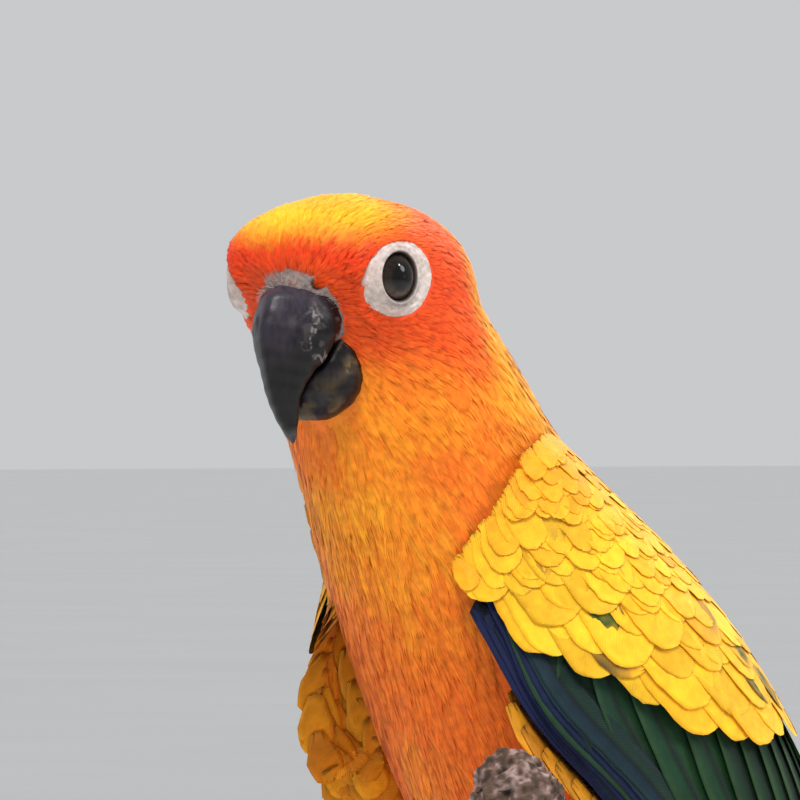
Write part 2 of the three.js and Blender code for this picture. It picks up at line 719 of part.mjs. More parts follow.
function addBody() {
  const body = bodySolid(0);
  const torso = keepBeyond(body, [[NECK_CUT, -1]]);
  const throat = keepBeyond(body, [[HEAD_CUT, -1], [NECK_CUT, 1]]);
  const pieces = {
    neck: [throat.subtract(billSolid(LOWER_BILL_RINGS, GAP)), 0xf4862a],
    breast: [keepBeyond(torso, [[WAIST_CUT, 1], [BACK_CUT, -1]]), 0xf07a22],
    belly: [keepBeyond(torso, [[WAIST_CUT, -1], [BACK_CUT, -1]]), 0xf2691f],
    mantle: [keepBeyond(torso, [[WAIST_CUT, 1], [BACK_CUT, 1]]), 0xf2b81c],
    rump: [keepBeyond(torso, [[WAIST_CUT, -1], [BACK_CUT, 1]]), 0xeea21e],
  };
  for (const [name, [solid, color]] of Object.entries(pieces)) {
    addPiece(bird, name, geometryFrom(solid), color, 0.85);
  }
  return body;
}

function addHead(body) {
  const upper = billSolid(UPPER_BILL_RINGS, 0);
  const upperRoom = billSolid(UPPER_BILL_RINGS, GAP);
  const lower = billSolid(LOWER_BILL_RINGS, 0).subtract(upperRoom);
  const lowerRoom = billSolid(LOWER_BILL_RINGS, GAP);
  const cere = billSolid(CERE_RINGS, 0).subtract(upperRoom).subtract(lowerRoom)
    .subtract(nostril(1)).subtract(nostril(-1));
  let head = keepBeyond(body, [[HEAD_CUT, 1]])
    .subtract(upperRoom)
    .subtract(lowerRoom)
    .subtract(billSolid(CERE_RINGS, GAP));
  for (const side of [1, -1]) {
    head = head.subtract(eyeSocket(side));
    const name = side > 0 ? "left" : "right";
    addPiece(bird, `eye_${name}`, geometryFrom(eyeGeometry(side, 0)), 0x120c0a, 0.05);
    addPiece(bird, `eye_ring_${name}`, geometryFrom(eyeRing(side)), 0xe6ddd8, 0.6);
  }
  addPiece(bird, "head", geometryFrom(head), 0xf59322, 0.85);
  addPiece(bird, "bill_upper", geometryFrom(upper), 0x2a272b, 0.35);
  addPiece(bird, "bill_lower", geometryFrom(lower), 0x2c282a, 0.4);
  addPiece(bird, "cere", geometryFrom(cere), 0xcfc4c2, 0.6);
}

function addWings() {
  const room = bodySolid(GAP).add(tailLoft(TAIL_ROOM)).add(thighShape(1, GAP)).add(thighShape(-1, GAP));
  for (const [name, side, seed] of [["left", 1, 11], ["right", -1, 27]]) {
    const wing = geometryFrom(wingSolid(leadingEdges[name], seed));
    wing.scale(side, 1, 1);
    addPiece(bird, `wing_${name}`, geometryFrom(solidOf(wing).subtract(room)), 0xf2c01e, 0.8);
  }
}

function addLegs() {
  for (const side of [1, -1]) {
    const name = side > 0 ? "left" : "right";
    addPiece(bird, `thigh_${name}`, geometryFrom(thighSolid(side)), 0xef7a20, 0.85);
    addPiece(bird, `foot_${name}`, geometryFrom(footSolid(side)), 0x77706c, 0.7);
  }
}

function addStand() {
  addPiece(bird, "perch_limb", geometryFrom(limbSolid(0)), 0x6b574a, 0.9);
  addPiece(bird, "perch_stub", geometryFrom(stubSolid()), 0x6b574a, 0.9);
  addPiece(bird, "stand_rod_left", geometryFrom(rodSolid(1)), 0x2d2d2f, 0.4, 0.6);
  addPiece(bird, "stand_rod_right", geometryFrom(rodSolid(-1)), 0x2d2d2f, 0.4, 0.6);
  addPiece(part, "stand_base", baseGeometry(), 0x3a2a20, 0.5);
}

addHead(addBody());
addWings();
addPiece(bird, "tail", geometryFrom(tailSolid()), 0x5c6a2a, 0.75);
addLegs();
addStand();

export default part;
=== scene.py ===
"""A sun conure on a cut length of branch, held by a plain display stand.

Everything is worked out in millimetres in the bird's own frame (x to its left, y to its back,
z up, with the origin at the top of the branch) and placed in the frame's metres at the end.
"""

import itertools
import json
import math

import bpy
import numpy as np
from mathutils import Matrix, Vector
from mathutils.bvhtree import BVHTree

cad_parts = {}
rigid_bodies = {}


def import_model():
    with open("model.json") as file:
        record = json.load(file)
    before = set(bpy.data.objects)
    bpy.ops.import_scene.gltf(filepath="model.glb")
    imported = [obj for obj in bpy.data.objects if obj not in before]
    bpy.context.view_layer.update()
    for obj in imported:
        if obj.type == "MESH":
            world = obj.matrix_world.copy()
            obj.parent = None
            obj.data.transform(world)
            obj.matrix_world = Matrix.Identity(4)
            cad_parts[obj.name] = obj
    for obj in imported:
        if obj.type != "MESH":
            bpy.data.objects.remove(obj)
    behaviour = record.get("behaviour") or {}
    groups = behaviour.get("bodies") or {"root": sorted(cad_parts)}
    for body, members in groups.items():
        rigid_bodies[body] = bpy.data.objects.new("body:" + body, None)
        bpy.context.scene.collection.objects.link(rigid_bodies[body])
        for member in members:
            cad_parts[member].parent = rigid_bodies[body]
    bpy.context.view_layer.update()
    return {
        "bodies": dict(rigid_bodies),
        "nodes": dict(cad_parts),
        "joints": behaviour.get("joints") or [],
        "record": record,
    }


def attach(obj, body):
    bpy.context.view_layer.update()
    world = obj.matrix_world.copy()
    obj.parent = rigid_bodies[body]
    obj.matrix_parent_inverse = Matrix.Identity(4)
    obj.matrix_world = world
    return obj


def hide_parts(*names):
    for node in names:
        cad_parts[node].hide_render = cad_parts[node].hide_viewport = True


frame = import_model()

MM = 0.001
PERCH_TOP = 122
HEAD_TURN = 18
HEAD_CENTRE = np.array([0.6, -42.6, 125])
EYE_PLACE = (9.2, 7.6, -1.3)
EYE_TURN = 75
EYE_RADIUS = 4.4
EYE_OPENING = 3.02
FOOT_SPACING = 25
LIMB_RADIUS = 8
BARB_SPACING = 0.34
LIMB_HALF = 54
BASE_RADIUS = 64
BASE_THICKNESS = 12
ROD_OFFSET = 40

# Smooth values, noise and frames


def smooth_at(values, place):
    """Reads a row of values smoothly between its entries."""
    v = np.asarray(values, float)
    i = np.clip(np.floor(place).astype(int), 0, len(v) - 2)
    t = np.asarray(place, float) - i

    def at(k):
        return v[np.clip(k, 0, len(v) - 1)]

    a, b = at(i), at(i + 1)
    m0, m1 = (b - at(i - 1)) / 2, (at(i + 2) - a) / 2
    t2, t3 = t * t, t * t * t
    return (2 * t3 - 3 * t2 + 1) * a + (t3 - 2 * t2 + t) * m0 + (3 * t2 - 2 * t3) * b + (t3 - t2) * m1


def ease(x, low, high):
    """0 up to low, 1 from high on, and a soft step between them."""
    t = np.clip((np.asarray(x, float) - low) / (high - low), 0, 1)
    return t * t * (3 - 2 * t)


def unit(v):
    return v / np.maximum(np.linalg.norm(v, axis=-1, keepdims=True), 1e-9)


def lattice(i, j, k):
    """A steady random value from -1 to 1 for each corner of a lattice."""
    n = (i * 73856093) ^ (j * 19349663) ^ (k * 83492791)
    n = (n ^ (n >> 13)) & 0x7FFFFFFF
    n = (n * 60493 + 19990303) & 0x7FFFFFFF
    n = (n ^ (n >> 11)) * 15731 & 0x7FFFFFFF
    return n / 0x7FFFFFFF * 2 - 1


def noise(p, scale, seed=0):
    """Smooth noise from -1 to 1 at points, with features about scale across."""
    q = np.asarray(p, float) / scale + seed * 17.31 + 500
    base = np.floor(q).astype(np.int64)
    f = q - base
    f = f * f * (3 - 2 * f)
    total = 0
    for corner in itertools.product((0, 1), repeat=3):
        x, y, z = (f[..., k] if corner[k] else 1 - f[..., k] for k in range(3))
        total = total + x * y * z * lattice(*(base[..., k] + corner[k] for k in range(3)))
    return total


def layered(p, scale, seed=0):
    """Noise in three sizes, the smaller ones fainter."""
    fine = noise(p, scale / 2.1, seed + 3) * 0.3
    return noise(p, scale, seed) * 0.6 + fine + noise(p, scale / 4.3, seed + 5) * 0.15


def in_head(local):
    """From the head's left, fore and up to the bird's frame."""
    local = np.asarray(local, float)
    t = math.radians(HEAD_TURN)
    x, y = local[..., 0], -local[..., 1]
    out = np.stack([x * math.cos(t) - y * math.sin(t), x * math.sin(t) + y * math.cos(t), local[..., 2]], -1)
    return out + HEAD_CENTRE


def head_place(p):
    """From the bird's frame to the head's left, fore and up."""
    q = np.asarray(p, float) - HEAD_CENTRE
    t = math.radians(HEAD_TURN)
    x = q[..., 0] * math.cos(t) + q[..., 1] * math.sin(t)
    y = -q[..., 0] * math.sin(t) + q[..., 1] * math.cos(t)
    return np.stack([x, -y, q[..., 2]], -1)


def head_way(v):
    """A direction of the head turned into the bird's frame."""
    return in_head(v) - HEAD_CENTRE


# Meshes


def make(name, points, faces, colors=None, uv=None, extra=None):
    """One mesh object from points in millimetres, with its colour and other values by point."""
    world = (np.asarray(points, float) + [0, 0, PERCH_TOP]) * MM
    mesh = bpy.data.meshes.new(name)
    mesh.vertices.add(len(world))
    mesh.vertices.foreach_set("co", world.ravel())
    mesh.loops.add(faces.size)
    mesh.loops.foreach_set("vertex_index", faces.ravel().astype(np.int32))
    mesh.polygons.add(len(faces))
    mesh.polygons.foreach_set("loop_start", np.arange(0, faces.size, faces.shape[1], dtype=np.int32))
    mesh.update(calc_edges=True)
    mesh.validate()
    mesh.polygons.foreach_set("use_smooth", [True] * len(mesh.polygons))
    if colors is not None:
        layer = mesh.attributes.new("coat", "FLOAT_COLOR", "POINT")
        rgba = np.ones((len(world), 4))
        rgba[:, :3] = colors
        layer.data.foreach_set("color", rgba.ravel())
    for key, values in (extra or {}).items():
        layer = mesh.attributes.new(key, "FLOAT", "POINT")
        layer.data.foreach_set("value", np.asarray(values, float).ravel())
    if uv is not None:
        loops = np.zeros(len(mesh.loops), np.int32)
        mesh.loops.foreach_get("vertex_index", loops)
        layer = mesh.uv_layers.new(name="OFBake")
        layer.data.foreach_set("uv", np.asarray(uv, float)[loops].ravel())
    thing = bpy.data.objects.new(name, mesh)
    bpy.context.scene.collection.objects.link(thing)
    return thing


def place(thing, material, nodes, slot):
    """Puts a piece on the model, with its material and the solids that it stands for; the slot is not used."""
    thing.data.materials.append(material)
    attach(thing, "root")
    if nodes:
        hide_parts(*nodes)


def capped(values):
    """Values by grid point, with the mean of either end row added for the two closing points."""
    ends = np.stack([values[0].mean(0), values[-1].mean(0)])
    return np.concatenate([values.reshape(-1, *values.shape[2:]), ends])


def grid_triangles(rows, columns):
    """The triangles of a grid of points whose last column meets its first."""
    a = np.add.outer(np.arange(rows - 1) * columns, np.arange(columns)).ravel()
    b = np.add.outer(np.arange(rows - 1) * columns, np.roll(np.arange(columns), -1)).ravel()
    return np.vstack([np.stack([a, b, b + columns], -1), np.stack([a, b + columns, a + columns], -1)])


def closed_grid(points):
    """Points of a tube, row by row, with a middle point at either end, and its triangles."""
    rows, columns = points.shape[:2]
    here = np.arange(columns)
    beside = np.roll(here, -1)
    last = (rows - 1) * columns
    start = np.stack([np.full(columns, rows * columns), beside, here], -1)
    end = np.stack([np.full(columns, rows * columns + 1), last + here, last + beside], -1)
    ends = np.stack([start, end], 1).reshape(-1, 3)
    return capped(points), np.vstack([grid_triangles(rows, columns), ends])


def normals_of(points):
    """The outward ways of a closed tube's grid of points."""
    along = np.gradient(points, axis=0)
    around = np.roll(points, -1, 1) - np.roll(points, 1, 1)
    n = unit(np.cross(around, along))
    out = points - points.mean(1, keepdims=True)
    return n * np.sign(np.sum(n * out, -1, keepdims=True) + 1e-9)


# The body's surface

# Rings of the body from the vent up to the crown: the middle line's place behind and above the
# perch, how far each ring leans forward and turns, its half width, its reach to the front and
# to the rear, and how much the front of the ring is drawn in
BODY = {
    "back": [27, 20.5, 12.5, 3, -8, -17, -23.5, -28.5, -33, -37.5, -41, -42.4, -43, -43.6, -43.8],
    "up": [16, 27, 40, 53, 67, 79.5, 90.5, 99.5, 107.5, 114.5, 120, 125, 129.5, 133.2, 135.2],
    "lean": [30, 33, 35, 36, 36, 32, 26, 20, 13, 6, 0, 0, 0, 0, 0],
    "turn": [0, 0, 0, 0, 0, 0, 0, 0, 3, 9, 15, 18, 18, 18, 18],
    "half": [11, 18, 22.5, 25, 24.8, 22.8, 20.6, 18.8, 17.6, 16.6, 16.2, 15.9, 14, 9.8, 3],
    "front": [7.5, 17.5, 23, 24.5, 23.5, 21, 19.5, 18.3, 17.2, 15.3, 15.9, 16.6, 14.8, 10.4, 3.2],
    "rear": [6.5, 12.5, 19, 24, 24.5, 23, 19.8, 16.8, 16.2, 16.5, 17.2, 17.4, 15.4, 10.8, 3.3],
    "narrow": [0, 0, 0, 0, 0, 0, 0, 0, 0.03, 0.05, -0.08, -0.22, -0.14, -0.02, 0],
}
# How deep the coat is at each ring, so that the skin lies that far inside the solids
COAT_DEPTH = [1.2, 1.5, 1.6, 1.6, 1.6, 1.5, 1.4, 1.3, 1.1, 0.9, 0.8, 0.75, 0.75, 0.8, 0.8]


def behind_axis(p):
    """How far a point lies behind the body's middle line."""
    return p[..., 1] - np.interp(p[..., 2], BODY["up"], BODY["back"])


def ring_points(ring, angle, grow):
    """Points on an oval ring, at angles from the front round by the left."""
    lean, turn = np.radians(ring["lean"]), np.radians(ring["turn"])
    fore = np.stack([np.sin(turn) * np.cos(lean), -np.cos(turn) * np.cos(lean), -np.sin(lean)], -1)
    left = np.stack([np.cos(turn), np.sin(turn), 0 * turn], -1)
    ahead = np.maximum(0, np.cos(angle))
    across = np.sin(angle) * (ring["half"] + grow) * (1 - ring["narrow"] * ahead * ahead)
    depth = np.cos(angle) * (np.where(np.cos(angle) > 0, ring["front"], ring["rear"]) + grow)
    centre = np.stack([0 * turn, ring["back"] + 0 * turn, ring["up"] + 0 * turn], -1)
    return centre + left * across[..., None] + fore * depth[..., None]


def body_point(spot, angle, grow):
    """A point of the body's surface between two rings, grown outward by a distance."""
    spot, angle = np.broadcast_arrays(np.asarray(spot, float), np.asarray(angle, float))
    ring = {key: smooth_at(values, spot) for key, values in BODY.items()}
    return ring_points(ring, angle, grow)


EYE_AXES = {side: np.array([side * math.sin(math.radians(EYE_TURN)), math.cos(math.radians(EYE_TURN)), 0])
            for side in (1, -1)}
EYE_CENTRES = {side: np.array([side * EYE_PLACE[0], EYE_PLACE[1], EYE_PLACE[2]]) for side in (1, -1)}


def orbit_reach(phi):
    """How far the bare skin round the eye reaches: widest to the lower front."""
    skew = 0.25 * np.sin(2 * phi) + 0.06 * np.cos(3 * phi + 1)
    return 5.2 + 0.35 * np.sin(phi) - 0.03 * np.cos(2 * phi) + skew


def eye_polar(p, side):
    """Distance from the eye's axis, angle from the front round by the underside, and height."""
    q = head_place(p) - EYE_CENTRES[side]
    axis = EYE_AXES[side]
    height = q @ axis
    flat = q - height[..., None] * axis
    fore = np.array([-side * axis[1], abs(axis[0]), 0])
    x, z = flat @ fore, flat[..., 2]
    return np.hypot(x, z), np.arctan2(-z, x), height


ORBIT_STEPS = np.linspace(0, 2 * math.pi, 73)
ORBIT_HEIGHTS = []


def orbit_edge(phi):
    """The height of the ring's outer edge, level with the face round it."""
    return np.interp(np.mod(phi, 2 * math.pi), ORBIT_STEPS, ORBIT_HEIGHTS)


def raise_brow(p):
    """A low ridge of brow over each eye."""
    p = p.copy()
    for side in (1, -1):
        r, phi, height = eye_polar(p, side)
        top = np.exp(-(((phi + math.pi / 2 + math.pi) % (2 * math.pi) - math.pi) / 1.0) ** 2)
        lift = 0.6 * top * ease(r, 1.5, 4) * (1 - ease(r - orbit_reach(phi), 0.6, 5)) * (height > 0)
        p += head_way(EYE_AXES[side] * 1.0) * lift[..., None]
    return p


def measure_orbit(points, faces):
    """Reads how high the face stands along the outline of the bare ring."""
    tree = BVHTree.FromPolygons(points.tolist(), faces.tolist())
    for phi in ORBIT_STEPS:
        start = eye_point(1, np.array(orbit_reach(phi)), phi, np.array(12.0))
        hit = tree.ray_cast(Vector(start), Vector(-head_way(EYE_AXES[1] * 1.0)))[0]
        ORBIT_HEIGHTS.append(float(eye_polar(np.array(hit), 1)[2]))


def raise_lores(p):
    """The face stands a little proud of the ring in front, so the feathers lap over it."""
    p = p.copy()
    for side in (1, -1):
        r, phi, height = eye_polar(p, side)
        beyond = r - orbit_reach(phi)
        ahead = np.exp(-((phi - 0.4) / 1.1) ** 2)
        lift = 1.15 * ahead * ease(beyond, -0.8, 0.6) * (1 - ease(beyond, 1.2, 6)) * (height > 0)
        p += head_way(EYE_AXES[side] * 1.0) * lift[..., None]
    return p


def settle_round_eye(p):
    """Draws the skin down under the bare rings, as a real socket does."""
    p = p.copy()
    for side in (1, -1):
        r, phi, height = eye_polar(p, side)
        near = (1 - ease(r - orbit_reach(phi), -0.9, -0.1)) * (height > 0)
        drop = np.maximum(0, height - 1.9) * near
        p -= head_way(EYE_AXES[side] * 1.0) * drop[..., None]
    return p


def eye_point(side, r, phi, height):
    """A point at a distance from the eye's axis, an angle from the front round below, and a height."""
    axis = EYE_AXES[side]
    fore = np.array([-side * axis[1], abs(axis[0]), 0])
    p = EYE_CENTRES[side] + np.multiply.outer(height, axis) + np.multiply.outer(r * np.cos(phi), fore)
    return in_head(p + np.multiply.outer(-r * np.sin(phi), np.array([0, 0, 1.0])))


SKIN_ROWS, SKIN_SIDES = 225, 144
rows = np.linspace(0, 14, SKIN_ROWS)
turns = np.linspace(0, 2 * math.pi, SKIN_SIDES, endpoint=False)
skin_spots, skin_angles = np.meshgrid(rows, turns, indexing="ij")
skin_grid = body_point(skin_spots, skin_angles, -smooth_at(COAT_DEPTH, skin_spots))
skin_grid[..., 2] -= 0.9 * ease(skin_grid[..., 2], 124, 134.5)
skin_grid = raise_brow(skin_grid)
measure_orbit(*closed_grid(skin_grid))
skin_grid = raise_lores(skin_grid)
skin_grid = settle_round_eye(skin_grid)
skin_points, skin_faces = closed_grid(skin_grid)
skin_tree = BVHTree.FromPolygons(skin_points.tolist(), skin_faces.tolist())

# Colours by place, shared by the skin and the coat (linear light)

GOLD = np.array([0.92, 0.44, 0.012])
YELLOW = np.array([0.95, 0.56, 0.02])
AMBER = np.array([0.9, 0.265, 0.01])
ORANGE = np.array([0.88, 0.185, 0.012])
EMBER = np.array([0.80, 0.085, 0.008])
RED = np.array([0.72, 0.035, 0.005])
OLIVE = np.array([0.20, 0.23, 0.02])
GREEN = np.array([0.0055, 0.034, 0.0065])
LEAF = np.array([0.045, 0.13, 0.016])
BLUE = np.array([0.006, 0.011, 0.055])
DUSK = np.array([0.05, 0.055, 0.035])
LIME = np.array([0.42, 0.42, 0.03])


def mix(a, b, w):
    w = np.asarray(w, float)[..., None]
    return a * (1 - w) + b * w


def body_color(p):
    """The plumage's colour at points of the head, neck and body."""
    h = head_place(p)
    left, fore, up = np.abs(h[..., 0]), h[..., 1], h[..., 2]
    z, behind = p[..., 2], behind_axis(p)
    n = layered(p, 9, 1)
    m = layered(p, 4, 2)
    k = noise(p, 14, 4)
    c = mix(ORANGE, AMBER, ease(n + 0.25 * m, -0.45, 0.6))
    # The breast: mottled orange and amber, redder low down and beside the wings
    low = ease(96 - z, 0, 34)
    c = mix(c, EMBER, 0.72 * low * ease(n + 0.35, -0.3, 0.7))
    side = ease(np.abs(p[..., 0]), 12, 21) * ease(100 - z, 0, 10)
    c = mix(c, EMBER * 0.95, 0.75 * side * (behind < 12))
    c = mix(c, GOLD, 0.3 * ease(k + 0.5 * m, 0.25, 0.8) * ease(108 - z, 0, 12) * (1 - side))
    # The neck behind and the mantle go over to golden yellow
    rear = ease(behind, -1, 10)
    neck = ease(z, 98, 112)
    c = mix(c, mix(AMBER, GOLD, ease(n, -0.5, 0.3)), rear * (0.45 + 0.35 * neck))
    mantle = ease(behind, 3, 10) * ease(104 - z, -2, 9)
    c = mix(c, mix(GOLD, YELLOW, ease(n, -0.3, 0.6)), mantle)
    rump = ease(48 - z, 0, 16) * ease(behind, 2, 8)
    c = mix(c, mix(AMBER, ORANGE, ease(n, -0.3, 0.8)), 0.7 * rump)
    vent = ease(34 - z, 0, 12) * (1 - ease(behind, -3, 5))
    c = mix(c, mix(LIME, GOLD, 0.4 + 0.3 * n), 0.8 * vent)
    # The head: a red mask over the bill and round the eyes, below a golden crown
    head = ease(up, -19, -10)
    crown_line = 2.6 + 0.42 * (15 - fore) + 1.1 * m
    crown = ease(up - crown_line, -2.2, 2.2)
    face = mix(ORANGE, EMBER, 0.75 * ease(n + 0.3, -0.4, 0.6))
    mask = ease(fore, -9, 4) * ease(up, -15 + 3 * n, -4) * (1 - crown)
    face = mix(face, RED * 0.75 + EMBER * 0.3, mask * (0.75 + 0.2 * n))
    brow = np.exp(-((fore - 15.2) / 4) ** 2 - ((up - 0.9) / 2.2) ** 2)
    face = mix(face, RED, 0.9 * brow)
    cheek_low = ease(-up, 9, 17) * (1 - 0.35 * rear)
    face = mix(face, mix(ORANGE, AMBER, ease(m + n, -0.4, 0.6)), cheek_low)
    nape = ease(-fore, 1, 9)
    face = mix(face, mix(AMBER, GOLD, 0.6 + 0.4 * n), 0.9 * nape)
    top = mix(GOLD, YELLOW, ease(n + m, -0.5, 0.6))
    top = mix(top, AMBER, 0.5 * ease(left, 6, 12) + 0.25 * nape)
    face = mix(face, top, crown)
    return mix(c, face, head)


# Materials


def material(name, rough, build=None, **values):
    """A material with uniform values on its shader and an optional pattern."""
    m = bpy.data.materials.new(name)
    m.use_nodes = True
    tree = m.node_tree
    shader = tree.nodes["Principled BSDF"]
    shader.inputs["Roughness"].default_value = rough
    for key, value in values.items():
        shader.inputs[key.replace("_", " ")].default_value = value
    if build:
        build(tree, shader)
    return m


def node(tree, kind, **values):
    """A shader node; values named in_ go to its inputs, the others to its settings."""
    n = tree.nodes.new(kind)
    for key, value in values.items():
        if key.startswith("in_"):
            n.inputs[key[3:].replace("_", " ")].default_value = value
        else:
            setattr(n, key, value)
    return n


def place_noise(tree, scale, detail=4.0, stretch=None):
    where = node(tree, "ShaderNodeTexCoord")
    out = where.outputs["Object"]
    if stretch:
        mapping = node(tree, "ShaderNodeMapping")
        mapping.inputs["Scale"].default_value = stretch
        tree.links.new(out, mapping.inputs["Vector"])
        out = mapping.outputs["Vector"]
    n = node(tree, "ShaderNodeTexNoise", in_Scale=scale, in_Detail=detail)
    tree.links.new(out, n.inputs["Vector"])
    return n.outputs["Fac"]


def ramp(tree, source, stops):
    r = node(tree, "ShaderNodeValToRGB")
    r.color_ramp.elements[0].position, r.color_ramp.elements[0].color = stops[0][0], (*stops[0][1], 1)
    r.color_ramp.elements[1].position, r.color_ramp.elements[1].color = stops[-1][0], (*stops[-1][1], 1)
    for at, color in stops[1:-1]:
        r.color_ramp.elements.new(at).color = (*color, 1)
    tree.links.new(source, r.inputs["Fac"])
    return r.outputs["Color"]


def blend_colors(tree, kind, a, b, amount):
    n = node(tree, "ShaderNodeMix", data_type="RGBA", blend_type=kind)
    n.inputs["Factor"].default_value = amount
    tree.links.new(a, n.inputs[6])
    tree.links.new(b, n.inputs[7])
    return n.outputs[2]


def bumped(tree, shader, source, depth, strength=1.0):
    b = node(tree, "ShaderNodeBump")
    b.inputs["Strength"].default_value = strength
    b.inputs["Distance"].default_value = depth
    tree.links.new(source, b.inputs["Height"])
    tree.links.new(b.outputs["Normal"], shader.inputs["Normal"])


def value_of(tree, name, output="Fac"):
    return node(tree, "ShaderNodeAttribute", attribute_name=name).outputs[output]


def mottled(tree, shader, scale, detail, stops, stretch=None):
    """The piece's own colour, varied by fine noise."""
    coat = value_of(tree, "coat", "Color")
    tone = ramp(tree, place_noise(tree, scale, detail, stretch), stops)
    base = blend_colors(tree, "MULTIPLY", coat, tone, 1.0)
    tree.links.new(base, shader.inputs["Base Color"])
    return base


def feather_build(tree, shader):
    base = mottled(tree, shader, 900, 3, [(0.3, (0.84, 0.82, 0.8)), (0.7, (1.12, 1.1, 1.08))])
    stops = [(0.0, (0.86, 0.83, 0.8)), (0.6, (1.0, 1.0, 1.0)), (1.0, (1.07, 1.07, 1.06))]
    base = blend_colors(tree, "MULTIPLY", base, ramp(tree, value_of(tree, "barb"), stops), 0.8)
    tree.links.new(base, shader.inputs["Base Color"])
    bumped(tree, shader, value_of(tree, "barb"), 0.00006, 0.5)


def vane_build(tree, shader):
    """Fine barbs across the vane, broken up where the noise splits them."""
    base = mottled(tree, shader, 700, 4, [(0.3, (0.86, 0.84, 0.82)), (0.7, (1.1, 1.09, 1.08))])
    phase = node(tree, "ShaderNodeMath", operation="MULTIPLY")
    tree.links.new(value_of(tree, "barb"), phase.inputs[0])
    phase.inputs[1].default_value = 2 * math.pi / BARB_SPACING
    wave = node(tree, "ShaderNodeMath", operation="SINE")
    tree.links.new(phase.outputs["Value"], wave.inputs[0])
    level = node(tree, "ShaderNodeMapRange")
    level.inputs["From Min"].default_value = -1
    tree.links.new(wave.outputs["Value"], level.inputs["Value"])
    split = ramp(tree, place_noise(tree, 380, 5), [(0.4, (1.0, 1.0, 1.0)), (0.62, (0.6, 0.6, 0.6))])
    stops = [(0.0, (0.84, 0.82, 0.8)), (0.6, (1.02, 1.02, 1.02)), (1.0, (1.06, 1.06, 1.05))]
    barbed = blend_colors(tree, "MULTIPLY", base, ramp(tree, level.outputs["Result"], stops), 1.0)
    shown = node(tree, "ShaderNodeMix", data_type="RGBA")
    tree.links.new(split, shown.inputs["Factor"])
    tree.links.new(base, shown.inputs[6])
    tree.links.new(barbed, shown.inputs[7])
    tree.links.new(shown.outputs[2], shader.inputs["Base Color"])
    bumped(tree, shader, level.outputs["Result"], 0.00005, 0.6)


feather_mat = material("feather_body", 0.62, feather_build, Sheen_Weight=0.12, Sheen_Roughness=0.4,
                       Specular_IOR_Level=0.2, Subsurface_Weight=0.08, Subsurface_Scale=0.002)
vane_mat = material("feather_vane", 0.55, vane_build, Sheen_Weight=0.04, Sheen_Roughness=0.4,
                    Specular_IOR_Level=0.18)


def skin_build(tree, shader):
    mottled(tree, shader, 700, 4.0, [(0.3, (0.95, 0.9, 0.86)), (0.7, (1.05, 1.02, 1.0))])
    bumped(tree, shader, place_noise(tree, 1500), 0.0002)


skin_mat = material("skin_under_coat", 0.8, skin_build)
skin_map = np.stack([skin_angles.ravel() / 6.3, skin_spots.ravel() / 14.2], -1)
skin_map = np.vstack([skin_map, [[0.5, 0], [0.5, 1]]])
place(make("skin", skin_points, skin_faces, body_color(skin_points), uv=skin_map), skin_mat,
      ["head", "neck", "breast", "belly", "mantle", "rump"], "plumage")

# Feathers that lie on the body


def tuft(barbs, seed, stations=3, length_spread=0.55):
    """One small feather in its own terms: along, across and lift by point, with its triangles.
    It is a fan of fine overlapping barbs, each a narrow strip that ends in a point."""
    r = np.random.default_rng(seed)
    points, faces = [], []
    for b in range(barbs):
        s = 2 * (b + 0.5) / barbs - 1
        s += r.uniform(-0.25, 0.25) / barbs
        end = 1 - length_spread * abs(s) ** 2.2 + r.uniform(-0.05, 0.03)
        wide = 1.25 / barbs
        lift = r.uniform(-0.05, 0.09) - 0.12 * abs(s)
        first = len(points)
        for i in range(stations):
            u = i / stations
            t = end * u
            spread = s * (0.3 + 0.7 * math.sin(min(1, u * 1.15) * math.pi / 2)) * 0.95
            w = wide * (0.55 + 0.45 * min(1, u * 3)) * (1 if u < 0.72 else 0.8)
            for way in (-1, 1):
                points.append((t, spread + way * w * (0.4 + 0.6 * min(1, 2.2 * u)), lift * u, u, way))
            if i:
                a = first + 2 * (i - 1)
                faces += [(a, a + 1, a + 3), (a, a + 3, a + 2)]
        points.append((end, s * 0.95 + r.uniform(-0.03, 0.03), lift, 1, 0))
        a = first + 2 * (stations - 1)
        faces.append((a, a + 1, a + 2))
    return np.array(points), np.array(faces)


def march(starts, flow, lengths, steps):
    """Places and outward ways along each feather's line over the skin."""
    count = len(starts)
    spots = np.zeros((steps + 1, count, 3))
    outs = np.zeros((steps + 1, count, 3))
    for n in range(count):
        p = Vector(starts[n])
        step = lengths[n] / steps
        hit = skin_tree.find_nearest(p)
        for i in range(steps + 1):
            q, out = hit[0], hit[1]
            spots[i, n] = q
            outs[i, n] = out
            if i < steps:
                way = Vector(flow(np.array(q)))
                way -= out * way.dot(out)
                way.normalize()
                hit = skin_tree.find_nearest(q + way * step)
    return spots, outs


BILL_ROOT = in_head([0, 13.5, -5.5])


def body_flow(p):
    """The lie of the coat: away from the bill over the head, and down to the tail on the body."""
    away = p - BILL_ROOT
    distance = np.linalg.norm(away)
    down = np.array([0.0, 0.52, -0.85]) if p[2] < 104 else np.array([0.0, 0.25, -0.97])
    w = min(1, max(0, (distance - 13) / 26))
    w = w * w * (3 - 2 * w)
    return away / distance * (1 - 0.8 * w) + down * (0.12 + 1.1 * w)


BESIDE = list(itertools.product((-1, 0, 1), repeat=3))


